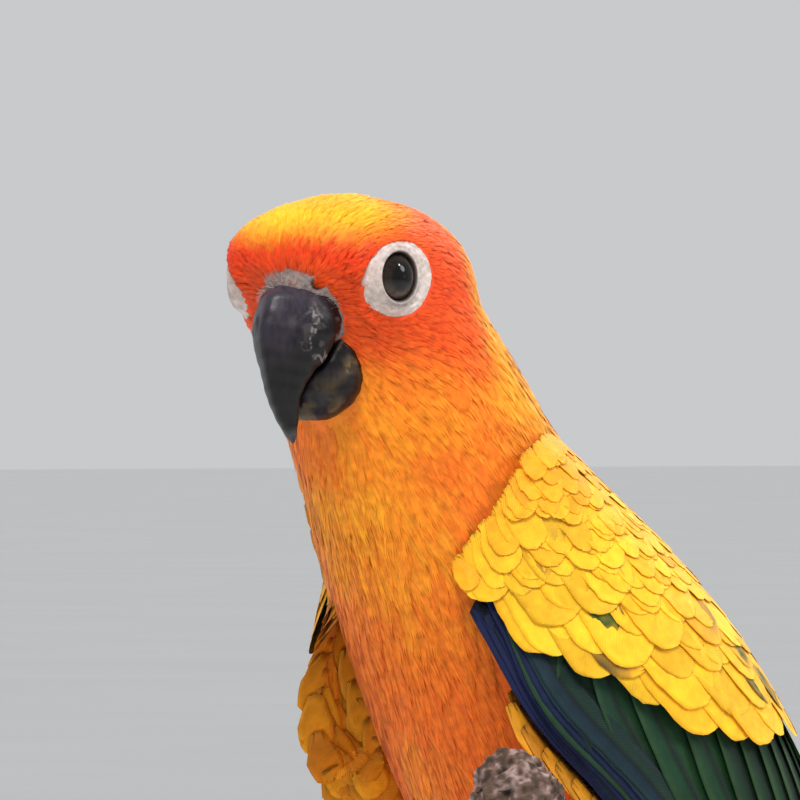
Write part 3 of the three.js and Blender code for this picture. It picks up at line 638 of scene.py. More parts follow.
def scatter(triangles, density, gap, keep, seed):
    """Evenly spread points over the skin: random darts kept where none lies within the gap."""
    r = np.random.default_rng(seed)
    a, b, c = (skin_points[triangles[:, k]] for k in range(3))
    area = np.linalg.norm(np.cross(b - a, c - a), axis=1) / 2
    chance = area / area.sum()
    total = int(area.sum() * density)
    pick = r.choice(len(triangles), total, p=chance)
    u, v = r.random(total), r.random(total)
    flip = u + v > 1
    u[flip], v[flip] = 1 - u[flip], 1 - v[flip]
    darts = a[pick] + (b - a)[pick] * u[:, None] + (c - a)[pick] * v[:, None]
    darts = darts[keep(darts)]
    gaps = gap(darts)
    cell = float(gaps.max())
    held, out = {}, []
    for n, (p, g) in enumerate(zip(darts.tolist(), gaps.tolist())):
        i, j, k = int(p[0] // cell), int(p[1] // cell), int(p[2] // cell)
        around = (q for x, y, z in BESIDE for q in held.get((i + x, j + y, k + z), ()))
        if all((q[0] - p[0]) ** 2 + (q[1] - p[1]) ** 2 + (q[2] - p[2]) ** 2 >= g * g for q in around):
            held.setdefault((i, j, k), []).append(p)
            out.append(n)
    return darts[out]


def skin_uv(p):
    """A place on the map of the skin: round the body, and up it."""
    angle = np.arctan2(p[..., 0], -behind_axis(p)) % (2 * math.pi)
    height = np.clip((p[..., 2] - 5) / 132, 0, 1)
    return np.stack([0.02 + 0.96 * angle / (2 * math.pi), 0.02 + 0.96 * height], -1)


def grow_feathers(name, roots, length, width, lift, templates, seed, color=body_color, flow=body_flow):
    """A coat piece: every root grows one feather along the lie of the coat."""
    r = np.random.default_rng(seed)
    count = len(roots)
    lengths = length(roots) * r.uniform(0.85, 1.15, count)
    widths = width(roots) * r.uniform(0.88, 1.12, count)
    steps = 4
    spots, outs = march(roots, flow, lengths, steps)
    tints = color(roots)
    tones = r.normal(0, 1, count)
    warm = r.uniform(-1, 1, count)
    tints = tints * np.exp(0.045 * tones)[:, None] * (1 + np.stack([0 * warm, 0.11 * warm, 0.1 * warm], -1))
    turn = r.normal(0, 0.13, count)
    lifts = lift(roots) * r.uniform(0.75, 1.3, count)
    kind = r.integers(0, len(templates), count)
    root_uv = skin_uv(roots)
    all_points, all_faces, all_colors, all_uv, all_barb = [], [], [], [], []
    base = 0
    for which, (shape, tris) in enumerate(templates):
        chosen = np.nonzero(kind == which)[0]
        if not len(chosen):
            continue
        t, s, h, u, edge = (shape[:, k] for k in range(5))
        f = np.clip(t, 0, 1) * steps
        i = np.minimum(f.astype(int), steps - 1)
        w = (f - i)[None, :, None]
        line = spots[:, chosen].transpose(1, 0, 2)
        ways = outs[:, chosen].transpose(1, 0, 2)
        at = line[:, i] * (1 - w) + line[:, i + 1] * w
        out = unit(ways[:, i] * (1 - w) + ways[:, i + 1] * w)
        run = unit(line[:, np.minimum(i + 1, steps)] - line[:, i])
        side = unit(np.cross(run, out))
        half = widths[chosen][:, None] / 2
        rise = lifts[chosen][:, None] * (0.1 + 0.95 * t[None] ** 0.8)
        cup = -0.16 * half * (s[None] ** 2)
        lateral = s[None] * half + turn[chosen][:, None] * t[None] * lengths[chosen][:, None]
        sway = 0.1 * s[None] * half * np.sign(warm[chosen])[:, None]
        p = at + side * lateral[..., None] + out * (rise + cup + sway + h[None] * half * 1.2)[..., None]
        all_points.append(p.reshape(-1, 3))
        offset = base + np.arange(len(chosen))[:, None, None] * len(shape)
        all_faces.append((tris[None] + offset).reshape(-1, 3))
        base += len(chosen) * len(shape)
        # Painted shade: each feather is darker toward its root, where the feathers before it lap over it
        painted_root_shade = 0.93 + 0.08 * ease(t, 0.15, 0.9)
        tint = tints[chosen][:, None] * painted_root_shade[None, :, None]
        pale = (0.05 * ease(t, 0.78, 1.0))[None, :, None]
        tint = tint * (1 - pale) + tints[chosen][:, None] * np.array([1.05, 1.3, 1.6]) * pale
        all_colors.append(tint.reshape(-1, 3))
        patch = np.stack([0.0015 * s, 0.0015 * (2 * t - 1)], -1)
        all_uv.append((root_uv[chosen][:, None] + patch[None]).reshape(-1, 2))
        barb = (0.5 + 0.5 * edge * np.sign(s + 1e-6)) * 0.7 + 0.3 * u
        all_barb.append(np.tile(barb, len(chosen)))
    thing = make(name, np.vstack(all_points), np.vstack(all_faces), np.clip(np.vstack(all_colors), 0, 1),
                 uv=np.vstack(all_uv), extra={"barb": np.concatenate(all_barb)})
    place(thing, feather_mat, (), "plumage")


face_tufts = [tuft(4, 100 + k) for k in range(6)]
neck_tufts = [tuft(6, 120 + k) for k in range(6)]
body_tufts = [tuft(7, 140 + k) for k in range(6)]

skin_middles = skin_points[skin_faces].mean(1)
middle_z = skin_middles[:, 2]


def wing_cover(p):
    """Where a folded wing hides the body, so that no coat is grown there."""
    z, x, behind = p[..., 2], np.abs(p[..., 0]), behind_axis(p)
    return (z < 86) & (z > 22) & (x > 15.5) & (behind > -3) & (behind < 15)


def bare_face(p, margin=0.0):
    """Where the bare skin of the eyes, the bill and the cere leaves no room for feathers."""
    h = head_place(p)
    bare = np.zeros(p.shape[:-1], bool)
    for side in (1, -1):
        r, phi, height = eye_polar(p, side)
        bare |= (r < orbit_reach(phi) + 0.05 + margin) & (height > 0)
    left, fore, up = np.abs(h[..., 0]), h[..., 1], h[..., 2]
    cere = (left / 6.0) ** 2 + ((up + 6.4) / 4.1) ** 2 < 1
    bill = (left / 6.5) ** 2 + ((up + 14) / 6.6) ** 2 < 1
    return bare | ((cere | bill) & (fore > 6))


def near_bare(p):
    """1 beside the bare skin and the bill, falling to 0 a few millimetres away."""
    h = head_place(p)
    near = np.zeros(p.shape[:-1])
    for side in (1, -1):
        r, phi, height = eye_polar(p, side)
        near = np.maximum(near, (1 - ease(r - orbit_reach(phi), 0.3, 4)) * (height > 0))
    left, fore, up = np.abs(h[..., 0]), h[..., 1], h[..., 2]
    d = np.minimum((left / 6.0) ** 2 + ((up + 6.4) / 4.1) ** 2, (left / 6.5) ** 2 + ((up + 14) / 6.6) ** 2)
    return np.maximum(near, (1 - ease(d, 1, 2.1)) * (fore > 4))


DENSE = 1.0


def zone(low, high):
    return skin_faces[(middle_z > low) & (middle_z < high)]


def even(value):
    """The same value for every feather."""
    return lambda p: np.full(len(p), value)


def head_size(p, least, more, start, shrink):
    """A size that grows from the face to the throat and nape, and shrinks beside bare skin."""
    h = head_place(p)
    return (least + more * ease(-h[..., 2] - 0.3 * h[..., 1], start, 14)) * (1 - shrink * near_bare(p))


def head_gap(p):
    return head_size(p, 0.52, 0.2, -2, 0.34) / math.sqrt(DENSE)


def head_length(p):
    return head_size(p, 2.7, 1.9, -4, 0.42)


head_roots = scatter(zone(106, 137), 16 * DENSE, head_gap, lambda p: ~bare_face(p), 31)
front = head_place(head_roots)[:, 1] > 2
for part_name, chosen in (("face", front), ("nape", ~front)):
    grow_feathers(f"feathers_{part_name}", head_roots[chosen], head_length,
                  lambda p: 0.3 * head_length(p) + 0.12, lambda p: 0.26 + 0.12 * (1 - near_bare(p)), face_tufts, 32)

neck_roots = scatter(zone(94, 107.5), 8 * DENSE, even(0.74 / math.sqrt(DENSE)), lambda p: ~bare_face(p), 41)
grow_feathers("feathers_neck", neck_roots, even(5.2), even(1.7), even(0.3), neck_tufts, 42)


def body_gap(p):
    return (0.98 + 0.5 * ease(behind_axis(p), 2, 10)) / math.sqrt(DENSE)


def trunk_length(p):
    return 6.6 + 1.6 * ease(behind_axis(p), 2, 10) + 1.2 * ease(50 - p[..., 2], 0, 20)


def trunk_width(p):
    return 2.2 + 1.8 * ease(behind_axis(p), 2, 10)


trunk_roots = scatter(zone(14, 96), 4.4 * DENSE, body_gap, lambda p: ~wing_cover(p), 51)
on_back = behind_axis(trunk_roots) > 3
high = trunk_roots[:, 2] > 62
for part_name, chosen in (("breast", ~on_back & high), ("belly", ~on_back & ~high), ("back", on_back)):
    grow_feathers(f"feathers_{part_name}", trunk_roots[chosen], trunk_length, trunk_width, even(0.45),
                  body_tufts, 52)

# The folded wings

# The folded wings' front edges (the left one, and the right one mirrored), their upper edges,
# and how far the wing swells between the two
LEADING = {
    1: [[17.5, -36.8, 84.5], [21.5, -34.2, 75.5], [25.2, -31, 66.5], [28.6, -20.5, 55.5], [29.6, -8, 43],
        [27, 8, 26.5], [21, 25, 7], [14.5, 42, -12], [8.5, 58, -30]],
    -1: [[16.2, -34.5, 81.5], [20.2, -33.8, 73.5], [22.7, -31.6, 65], [26.1, -22.7, 55], [27.4, -9.5, 43],
         [27.6, 7.5, 26.5], [21, 25, 7], [14.5, 42, -12], [8.5, 58, -30]],
}
UPPER = [[11, -10, 98.5], [12.5, 7, 84.5], [12.5, 18, 72], [11, 27.5, 56], [8.5, 35, 36], [5.5, 41.5, 12],
         [4, 49, -10], [2.5, 58, -31]]
BULGE = [9, 10.6, 10.2, 7, 3.2, 0.5]


class Line:
    """A smooth line through points, read by its share of length (centripetal, as the solids use)."""

    def __init__(self, points, count=600):
        p = np.asarray(points, float)
        p = np.vstack([2 * p[0] - p[1], p, 2 * p[-1] - p[-2]])
        out = []
        per = count // (len(p) - 3)
        for i in range(1, len(p) - 2):
            a, b, c, d = p[i - 1:i + 3]
            k0, k1, k2 = (max(np.linalg.norm(x) ** 0.5, 1e-4) for x in (b - a, c - b, d - c))
            m0 = ((b - a) / k0 - (c - a) / (k0 + k1) + (c - b) / k1) * k1
            m1 = ((c - b) / k1 - (d - b) / (k1 + k2) + (d - c) / k2) * k1
            t = np.linspace(0, 1, per, endpoint=False)[:, None]
            out.append((2 * t**3 - 3 * t**2 + 1) * b + (t**3 - 2 * t**2 + t) * m0
                       + (3 * t**2 - 2 * t**3) * c + (t**3 - t**2) * m1)
        self.points = np.vstack(out + [p[-2][None]])
        steps = np.linalg.norm(np.diff(self.points, axis=0), axis=1)
        self.share = np.concatenate([[0], np.cumsum(steps)]) / steps.sum()

    def at(self, share):
        share = np.asarray(share, float)
        inside = np.clip(share, 0, 1)
        p = np.stack([np.interp(inside, self.share, self.points[:, k]) for k in range(3)], -1)
        length = np.linalg.norm(self.points[1] - self.points[0]) / max(self.share[1], 1e-9)
        start = unit(self.points[3] - self.points[0]) * length
        end = unit(self.points[-1] - self.points[-4]) * length
        return p + start * np.minimum(share, 0)[..., None] + end * np.maximum(share - 1, 0)[..., None]

    def way(self, share):
        return unit(self.at(np.asarray(share) + 0.004) - self.at(np.asarray(share) - 0.004))


leading = {side: Line(points) for side, points in LEADING.items()}
upper = Line(UPPER)


def wing_point(side, along, across, sink):
    """The outer surface of a folded wing, drawn for the left side and mirrored for the right."""
    along, across, sink = np.broadcast_arrays(*(np.asarray(v, float) for v in (along, across, sink)))
    a, b = leading[side].at(along), upper.at(along)
    run = leading[side].way(along) + upper.way(along)
    out = unit(np.cross(run, b - a))
    bulge = smooth_at(BULGE, np.clip(along, 0, 1) * 5)
    p = a + (b - a) * across[..., None] + out * (bulge * 4 * across * (1 - across) - sink)[..., None]
    return p * np.array([side, 1, 1])


def wing_frame(side, along, across, sink):
    p = wing_point(side, along, across, sink)
    h = 0.02
    run = unit(wing_point(side, along + h, across, 0) - wing_point(side, along - h, across, 0))
    chord = wing_point(side, along, across + h, 0) - wing_point(side, along, across - h, 0)
    chord = unit(chord - run * np.sum(chord * run, -1, keepdims=True))
    out = unit(np.cross(run, chord)) * side
    return p, chord, out


# The line of the longest coverts' tips: across the wing, and along it
COVER_T = [0, 0.05, 0.096, 0.13, 0.176, 0.268, 0.308, 0.34, 0.408, 0.516, 0.7, 0.9, 1]
COVER_S = [0.026, 0.036, 0.066, 0.104, 0.128, 0.162, 0.183, 0.214, 0.247, 0.272, 0.3, 0.318, 0.325]


def cover_line(across):
    """How far along the wing the longest coverts reach."""
    return np.interp(across, COVER_T, COVER_S)


def front_line(across):
    """Where the body's coat gives way to the wing."""
    return -0.006 - 0.1 * np.minimum(across, 0.45)


def vane(middle, chord, out, half_in, half_out, columns, thickness, seed, jag, curl, shaft, tilt=0.0,
         t=None, barbs=0.75, fringe=0.0):
    """A flight or covert feather: a closed thin blade of barbs with a raised shaft and a ragged edge.
    half_in and half_out give the width of either web at each row of the middle line."""
    r = np.random.default_rng(seed)
    rows_count = len(middle)
    s = np.linspace(-1, 1, columns)
    s = np.sign(s) * np.abs(s) ** 0.9
    run = unit(np.gradient(middle, axis=0))
    spread = np.where(s[None] < 0, half_in[:, None] * s[None], half_out[:, None] * s[None])
    ragged = r.uniform(-1, 1, (rows_count, 2)) * jag
    spread[:, 0] -= ragged[:, 0] * np.minimum(half_in, 1) * 0.5
    spread[:, -1] += ragged[:, 1] * np.minimum(half_out, 1) * 0.5
    t = np.linspace(0, 1, rows_count) if t is None else t
    sweep = np.abs(spread) * barbs * (1 - ease(t, 0.75, 1.0)[:, None] * 0.8)
    level = -np.abs(spread) ** 2 * curl + shaft * np.exp(-(s[None] / 0.09) ** 2)
    level = level - tilt * s[None] + r.normal(0, 0.012, (rows_count, columns))
    top = middle[:, None] + chord[:, None] * spread[..., None] + out[:, None] * level[..., None]
    loose = fringe * r.uniform(-1, 0.7, columns)[None] * ease(t, 0.62, 1.0)[:, None]
    top = top + run[:, None] * (sweep + loose)[..., None]
    under = top - out[:, None] * (thickness * (0.35 + 0.65 * (1 - np.abs(s[None]))))[..., None]
    ring = np.concatenate([top, under[:, ::-1]], 1)
    along = np.broadcast_to(t[:, None], (rows_count, columns))
    across = np.broadcast_to(s[None], (rows_count, columns))
    values = [np.concatenate([v, v[:, ::-1]], 1) for v in (along, across)]
    length = np.linalg.norm(np.diff(middle, axis=0), axis=1).sum()
    reach = np.concatenate([np.abs(spread), np.abs(spread)[:, ::-1]], 1)
    return ring, values[0], values[1], values[0] * length - reach * (1.1 - barbs)


class Coat:
    """Feathers gathered into one mesh, each with its colour and its patch of the map."""

    def __init__(self):
        self.points, self.faces, self.colors, self.uv, self.barb, self.base = [], [], [], [], [], 0

    def add(self, ring, along, across, stripe, colors, spot):
        flat, faces = closed_grid(ring)
        self.points.append(flat)
        self.faces.append(faces + self.base)
        self.base += len(flat)
        self.colors.append(capped(colors))
        local = np.stack([0.0015 * across.ravel(), 0.0015 * (2 * along.ravel() - 1)], -1)
        local = np.vstack([local, [[0, -0.0015], [0, 0.0015]]])
        self.uv.append(np.asarray(spot)[None] + local)
        self.barb.append(capped(stripe))

    def build(self, name, mat, nodes=(), slot_name="wing_feathers"):
        colors = np.clip(np.vstack(self.colors), 0, 1)
        thing = make(name, np.vstack(self.points), np.vstack(self.faces), colors, uv=np.vstack(self.uv),
                     extra={"barb": np.concatenate(self.barb)})
        place(thing, mat, nodes, slot_name)


# Dusky and green marks on the wing coverts: along and across the wing, how many feathers, how strong
COVERT_MARKS = {
    1: [(0.062, 0.33, 1, 1.0), (0.095, 0.46, 1, 0.9), (0.005, 0.35, 1, 0.5), (0.130, 0.20, 2, 0.95),
        (0.155, 0.265, 1, 0.8), (0.215, 0.66, 1, 0.9), (0.245, 0.66, 1, 0.9), (0.03, 0.16, 1, 0.45),
        (0.158, 0.612, 1, 0.6), (0.275, 0.8, 2, 0.9)],
    -1: [(0.06, 0.30, 1, 0.8), (0.10, 0.52, 1, 0.8), (0.15, 0.26, 2, 0.9), (0.19, 0.70, 2, 0.7),
         (0.24, 0.92, 2, 0.85), (0.03, 0.18, 1, 0.5)],
}


def wing_tint(s, seed):
    """The ground colour of a covert, warmer toward the front of the wing."""
    r = np.random.default_rng(seed)
    base = mix(GOLD, YELLOW, r.uniform(0, 1))
    base = base * (1 - 0.25 * r.random() * (r.random() > 0.6))
    base = base + AMBER * 0.25 * r.random() * (r.random() > 0.5)
    front = 1 - ease(s, -0.02, 0.05)
    return mix(base, AMBER, 0.45 * float(front))


def leaf_halves(t, width, point=0.55, root=0.45):
    tip = np.sqrt(np.clip(1 - ((t - point) / (1.002 - point)).clip(0) ** 2.6, 0, 1))
    return (root + (1 - root) * ease(t, 0, 0.4)) * tip * width / 2


def covert_feather(coat, side, tip, across, length, width, sink, tilt, seed, slope, rows_count, columns=9,
                   colors=None, sink_root=1.3, mark=0, frame=None, fringe=0.12):
    """A short feather from its root under the row before to its rounded tip."""
    r = np.random.default_rng(seed)
    t = 1 - (1 - np.linspace(0, 1, rows_count)) ** 1.7
    s_line = tip - length * (1 - t)
    a_line = across + slope * (1 - t) + 0.01 * r.normal()
    hug = 0.12 * ease(t, 0.7, 1.0) if frame is None else 0
    middle, chord, out = (frame or wing_frame)(side, s_line, a_line, sink + sink_root * (1 - t) ** 1.2 + hug)
    halves = leaf_halves(t, width)
    ring, along, cross, stripe = vane(middle, chord, out, halves, halves, columns, 0.05, seed, jag=0.25,
                                      curl=0.01, shaft=0.03, tilt=tilt, t=t, barbs=0.3, fringe=fringe)
    if colors is None:
        ground = wing_tint(tip, seed)
        tint = np.broadcast_to(ground, (*along.shape, 3)).copy()
        # Painted shade: the covert is darker toward its root, under the row before it
        tint *= (0.93 + 0.08 * ease(along, 0.1, 0.8))[..., None]
        tint = mix(tint, np.array([1.0, 0.66, 0.06]), 0.12 * ease(along, 0.8, 1.0))
        fine = noise(ring, 1.1, seed % 7)
        tint = tint * (1 + 0.07 * fine[..., None])
        if mark:
            inner = ease(cross * (1 if r.random() > 0.4 else -1), -0.5, 0.2)
            band = ease(along, 0.5, 0.68) * (1 - ease(along + 0.03 * fine, 0.9, 0.98))
            amount = np.clip(mark * inner * band * (0.85 + 0.5 * fine), 0, 1)
            tint = mix(tint, mix(LEAF * 0.7, DUSK * 0.8, r.uniform(0.2, 0.9)), amount)
    else:
        tint = colors(along, cross, ring)
    coat.add(ring, along, cross, stripe, tint, (0.05 + 0.85 * max(0, tip), 0.05 + 0.85 * across))


def long_feather(coat, side, path, width, sinks, seed, tilt, color, inner=0.62):
    """A secondary or a primary along a path of (along, across) places on the wing."""
    t = np.linspace(0, 1, 34)
    s_line = smooth_at([q[0] for q in path], t * (len(path) - 1))
    a_line = smooth_at([q[1] for q in path], t * (len(path) - 1))
    sink = np.interp(t, [0, 0.6, 1], sinks) - 3.6 * ease(s_line, 0.6, 1.0)
    middle, chord, out = wing_frame(side, s_line, a_line, sink)
    run = unit(np.gradient(middle, axis=0))
    chord = unit(chord - run * np.sum(chord * run, -1, keepdims=True))
    w = (0.62 + 0.38 * ease(t, 0, 0.35)) * (1 - 0.18 * ease(t, 0.5, 0.9))
    w = w * np.sqrt(np.clip(1 - ((t - 0.82) / 0.182).clip(0) ** 2.2, 0, 1)) * width
    ring, along, cross, stripe = vane(middle, chord, out, w * (1 - inner), w * inner, 11, 0.22, seed,
                                      jag=0.12, curl=0.006, shaft=0.2, tilt=tilt)
    spot = 0.05 + 0.85 * path[0][0], 0.05 + 0.85 * path[0][1]
    coat.add(ring, along, cross, stripe, color(along, cross, ring), spot)


def green_vane(seed, blue=0.0):
    r = np.random.default_rng(seed)
    tone = r.uniform(0.8, 1.25)

    def color(along, cross, ring):
        base = GREEN * tone
        light = 0.55 * ease(-cross, 0.45, 1.0) + 0.12 * ease(along, 0.7, 1)
        c = mix(np.broadcast_to(base, (*along.shape, 3)), LEAF * 0.62, light)
        c = mix(c, np.array([0.006, 0.016, 0.010]), 0.7 * ease(cross, 0.1, 0.9))
        c = mix(c, BLUE, min(1, 1.15 * blue) * (0.35 + 0.65 * ease(-cross, -0.3, 0.4)))
        c = mix(c, np.array([0.004, 0.005, 0.008]), 0.8 * np.exp(-(cross / 0.07) ** 2))
        return c * (1 + 0.16 * noise(ring, 0.9, 3)[..., None])
    return color


def lining_frame(side, along, inward, sink):
    """The small coverts before the wing: a band from its leading edge in to the breast."""
    along, inward, sink = np.broadcast_arrays(*(np.asarray(v, float) for v in (along, inward, sink)))
    edge_at = wing_point(side, along, -0.004, 3.7)
    body_at = lining_body(side, along)
    run = unit(wing_point(side, along + 0.02, 0.0, 0) - wing_point(side, along - 0.02, 0.0, 0))
    chord = body_at - edge_at
    chord = unit(chord - run * np.sum(chord * run, -1, keepdims=True))
    out = unit(np.cross(run, chord))
    out = out * np.sign(out @ np.array([0.15 * side, -1.0, 0.1]))[..., None]
    bow = 1.2 * np.sin(np.clip(inward, 0, 1) * math.pi)
    p = edge_at + (body_at - edge_at) * inward[..., None] + out * (bow - sink)[..., None]
    return p, chord, out


LINING = {}


def lining_body(side, along):
    if side not in LINING:
        spots = np.linspace(-0.15, 0.75, 60)
        edge_at = wing_point(side, spots, 0.0, 0)
        LINING[side] = spots, np.array([list(skin_tree.find_nearest(Vector(q))[0]) for q in edge_at])
    spots, places = LINING[side]
    return np.stack([np.interp(along, spots, places[:, k]) for k in range(3)], -1)


def lining_tint(seed):
    r = np.random.default_rng(seed)
    tone = r.uniform(0.8, 1.1)

    def color(along, cross, ring):
        # Painted shade: the band is darkened overall, where it lies in the hollow between wing and breast, and each
        # feather is darker toward its root
        base = mix(GOLD, AMBER, r.uniform(0.3, 0.8)) * tone * 0.85
        c = np.broadcast_to(base, (*along.shape, 3)) * (0.72 + 0.32 * ease(along, 0.2, 0.9))[..., None]
        return c * (1 + 0.08 * noise(ring, 0.9, 5)[..., None])
    return color


def flight_path(start, root, tip, end):
    """A line that leaves the coverts at a slant and swings in beside the leading edge."""
    reach = (start[1] - end) / 1.5
    s_line = np.linspace(root, tip, 7)
    return [(s, end + (start[1] - end) * math.exp(-(s - start[0]) / max(reach, 0.05))) for s in s_line]


def grow_wing(side):
    name = "left" if side > 0 else "right"
    r = np.random.default_rng(60 + side)
    coat, quills = Coat(), Coat()
    # Coverts in rows, each row over the next one out, smallest by the shoulder
    row = 0
    shift = 0.0
    placed = []
    while shift < 0.40:
        size = 1 - 0.5 * ease(shift, 0.02, 0.22)
        spacing = 0.088 * size
        count = int(1.08 / spacing)
        for k in range(count + 1):
            across = 0.02 + spacing * (k + 0.5 * (row % 2)) + 0.011 * r.normal()
            if across > 1.05:
                continue
            tip = float(cover_line(across)) - shift * min(1, 0.35 + across * 2.2) + 0.008 * r.normal()
            room = tip - float(front_line(across))
            if room < 0.012:
                continue
            small = size * (0.6 + 0.4 * float(ease(room, 0.02, 0.14)))
            width = 10.2 * small * r.uniform(0.82, 1.18) * (0.45 + 0.55 * float(ease(across, 0.0, 0.12)))
            sink = 0.85 - 0.08 * min(row, 7) + 0.12 * (k % 2)
            length = min((0.128 * small + 0.012) * r.uniform(0.92, 1.08), room + 0.014)
            placed.append([tip, across, length, width, sink, 0.06 * small, int(r.integers(1e6)), 0])
        shift += 0.034 * size + 0.003
        row += 1
    for mark_along, mark_across, count, strength in COVERT_MARKS[side]:
        def apart(q):
            return ((q[0] - 0.012 - mark_along) / 0.02) ** 2 + ((q[1] - mark_across) / 0.06) ** 2

        for q in sorted(placed, key=apart)[:count]:
            q[-1] = strength
    for *q, mark in placed:
        covert_feather(coat, side, *q, slope=0.5 * q[2], rows_count=16, columns=13, mark=mark)
    coat.build(f"coverts_{name}", vane_mat, [f"wing_{name}"])
    # Secondaries and inner feathers, running from under the coverts and swinging in beside the edge
    for k in range(15):
        u = k / 14
        across = 0.1 + 0.85 * u
        start = (float(cover_line(across)), across)
        end = 0.082 + 0.36 * across**2
        path = flight_path(start, max(0.0, start[0] - 0.07), 0.44 + 0.2 * u + 0.006 * r.normal(), end)
        long_feather(quills, side, [(a, min(b, 1.05)) for a, b in path], 7.4 + 1.6 * u, [2.9, 2.0, 1.7],
                     int(r.integers(1e6)), 0.5, green_vane(int(r.integers(1e6)), 0.25 * (1 - u) ** 2))
    # Primaries with their deep blue outer webs
    for k in range(9):
        u = k / 8
        root = (0.11 - 0.09 * u, 0.20 - 0.16 * u)
        tip = (0.60 + 0.40 * u**0.8, 0.66 - 0.50 * u)
        waist = 0.085 - 0.045 * u
        middle = 0.5 * (0.34 + tip[0]), 0.5 * (waist + tip[1]) - 0.04
        sinks = [3.3, 2.7 + 0.13 * k, 2.3 + 0.12 * k]
        long_feather(quills, side, [root, (0.2, waist + 0.02), (0.34, waist), middle, tip], 6.4, sinks,
                     int(r.integers(1e6)), 0.3, green_vane(int(r.integers(1e6)), 0.3 + 0.7 * u), inner=0.6)
    # Primary coverts: narrow, stiff and pointed, dark green, the outer ones blue
    for k in range(6):
        u = k / 5
        covert_feather(quills, side, 0.34 - 0.02 * u, 0.046 + 0.052 * u, 0.34, 4.2, 1.25 + 0.3 * (1 - u),
                       0.25, int(r.integers(1e6)), slope=0.03, rows_count=30,
                       colors=green_vane(int(r.integers(1e6)), 1 - 0.5 * u), sink_root=1.4, fringe=0.1)
    quills.build(f"quills_{name}", vane_mat)
    # The soft yellow band of small feathers before the leading edge
    edge = Coat()
    for k in range(40):
        first = 0.17 if side > 0 else -0.12
        s_place = first + (0.6 - first) * k / 39
        for j in range(4):
            inward = -0.06 + 0.26 * (j + 0.5 * (k % 2)) + 0.03 * r.normal()
            covert_feather(edge, side, s_place + 0.004 * r.normal(), inward, 0.06, 4.6 * r.uniform(0.9, 1.1),
                           0.1 * r.random() + 0.25 * (j % 2), 0.15, int(r.integers(1e6)), slope=0.0,
                           rows_count=9, columns=7, colors=lining_tint(int(r.integers(1e6))), sink_root=0.6,
                           frame=lining_frame)
    edge.build(f"wing_edge_{name}", vane_mat)


for wing_side in (1, -1):
    grow_wing(wing_side)

# The tail

# The tail: its root, its slope down from level, and its feathers from the middle pair outward
TAIL_ROOT = np.array([0, 27, 16])
TAIL_PITCH = 60
TAIL_LENGTHS = [142, 128, 114, 101, 89, 77]
TAIL_WIDTHS = [13, 12.5, 12, 11.5, 11, 10]


def tail_point(side, height, run):
    turn = math.radians(90 - TAIL_PITCH)
    side, height, run = np.broadcast_arrays(*(np.asarray(v, float) for v in (side, height, run)))
    c, s = math.cos(turn), math.sin(turn)
    return np.stack([side, height * c + run * s, height * s - run * c], -1) + TAIL_ROOT


def tail_way(side, height):
    return unit(tail_point(side, height, 0) - TAIL_ROOT)


def tail_color(seed, outer):
    r = np.random.default_rng(seed)
    tone = r.uniform(0.9, 1.15)

    def color(along, cross, ring):
        c = np.broadcast_to(OLIVE * 0.55 * tone, (*along.shape, 3)).copy()
        c = mix(c, GREEN * 2.2, 0.35 * ease(along, 0.2, 0.6))
        web = ease(np.abs(cross), 0.2, 0.9)
        c = mix(c, BLUE * 1.6, ease(along, 0.62, 0.95) * (0.55 + 0.45 * web))
        c = mix(c, BLUE * 1.3, 0.65 * outer * web * ease(along, 0.1, 0.4))
        c = mix(c, np.array([0.012, 0.012, 0.009]), 0.75 * np.exp(-(cross / 0.06) ** 2))
        half = np.arange(along.shape[1]) >= along.shape[1] // 2
        dusky = np.array([0.035, 0.032, 0.022])
        c = mix(c, dusky, 0.85 * np.broadcast_to(half[None], along.shape))
        return c * (1 + 0.14 * noise(ring, 1.2, 5)[..., None])
    return color


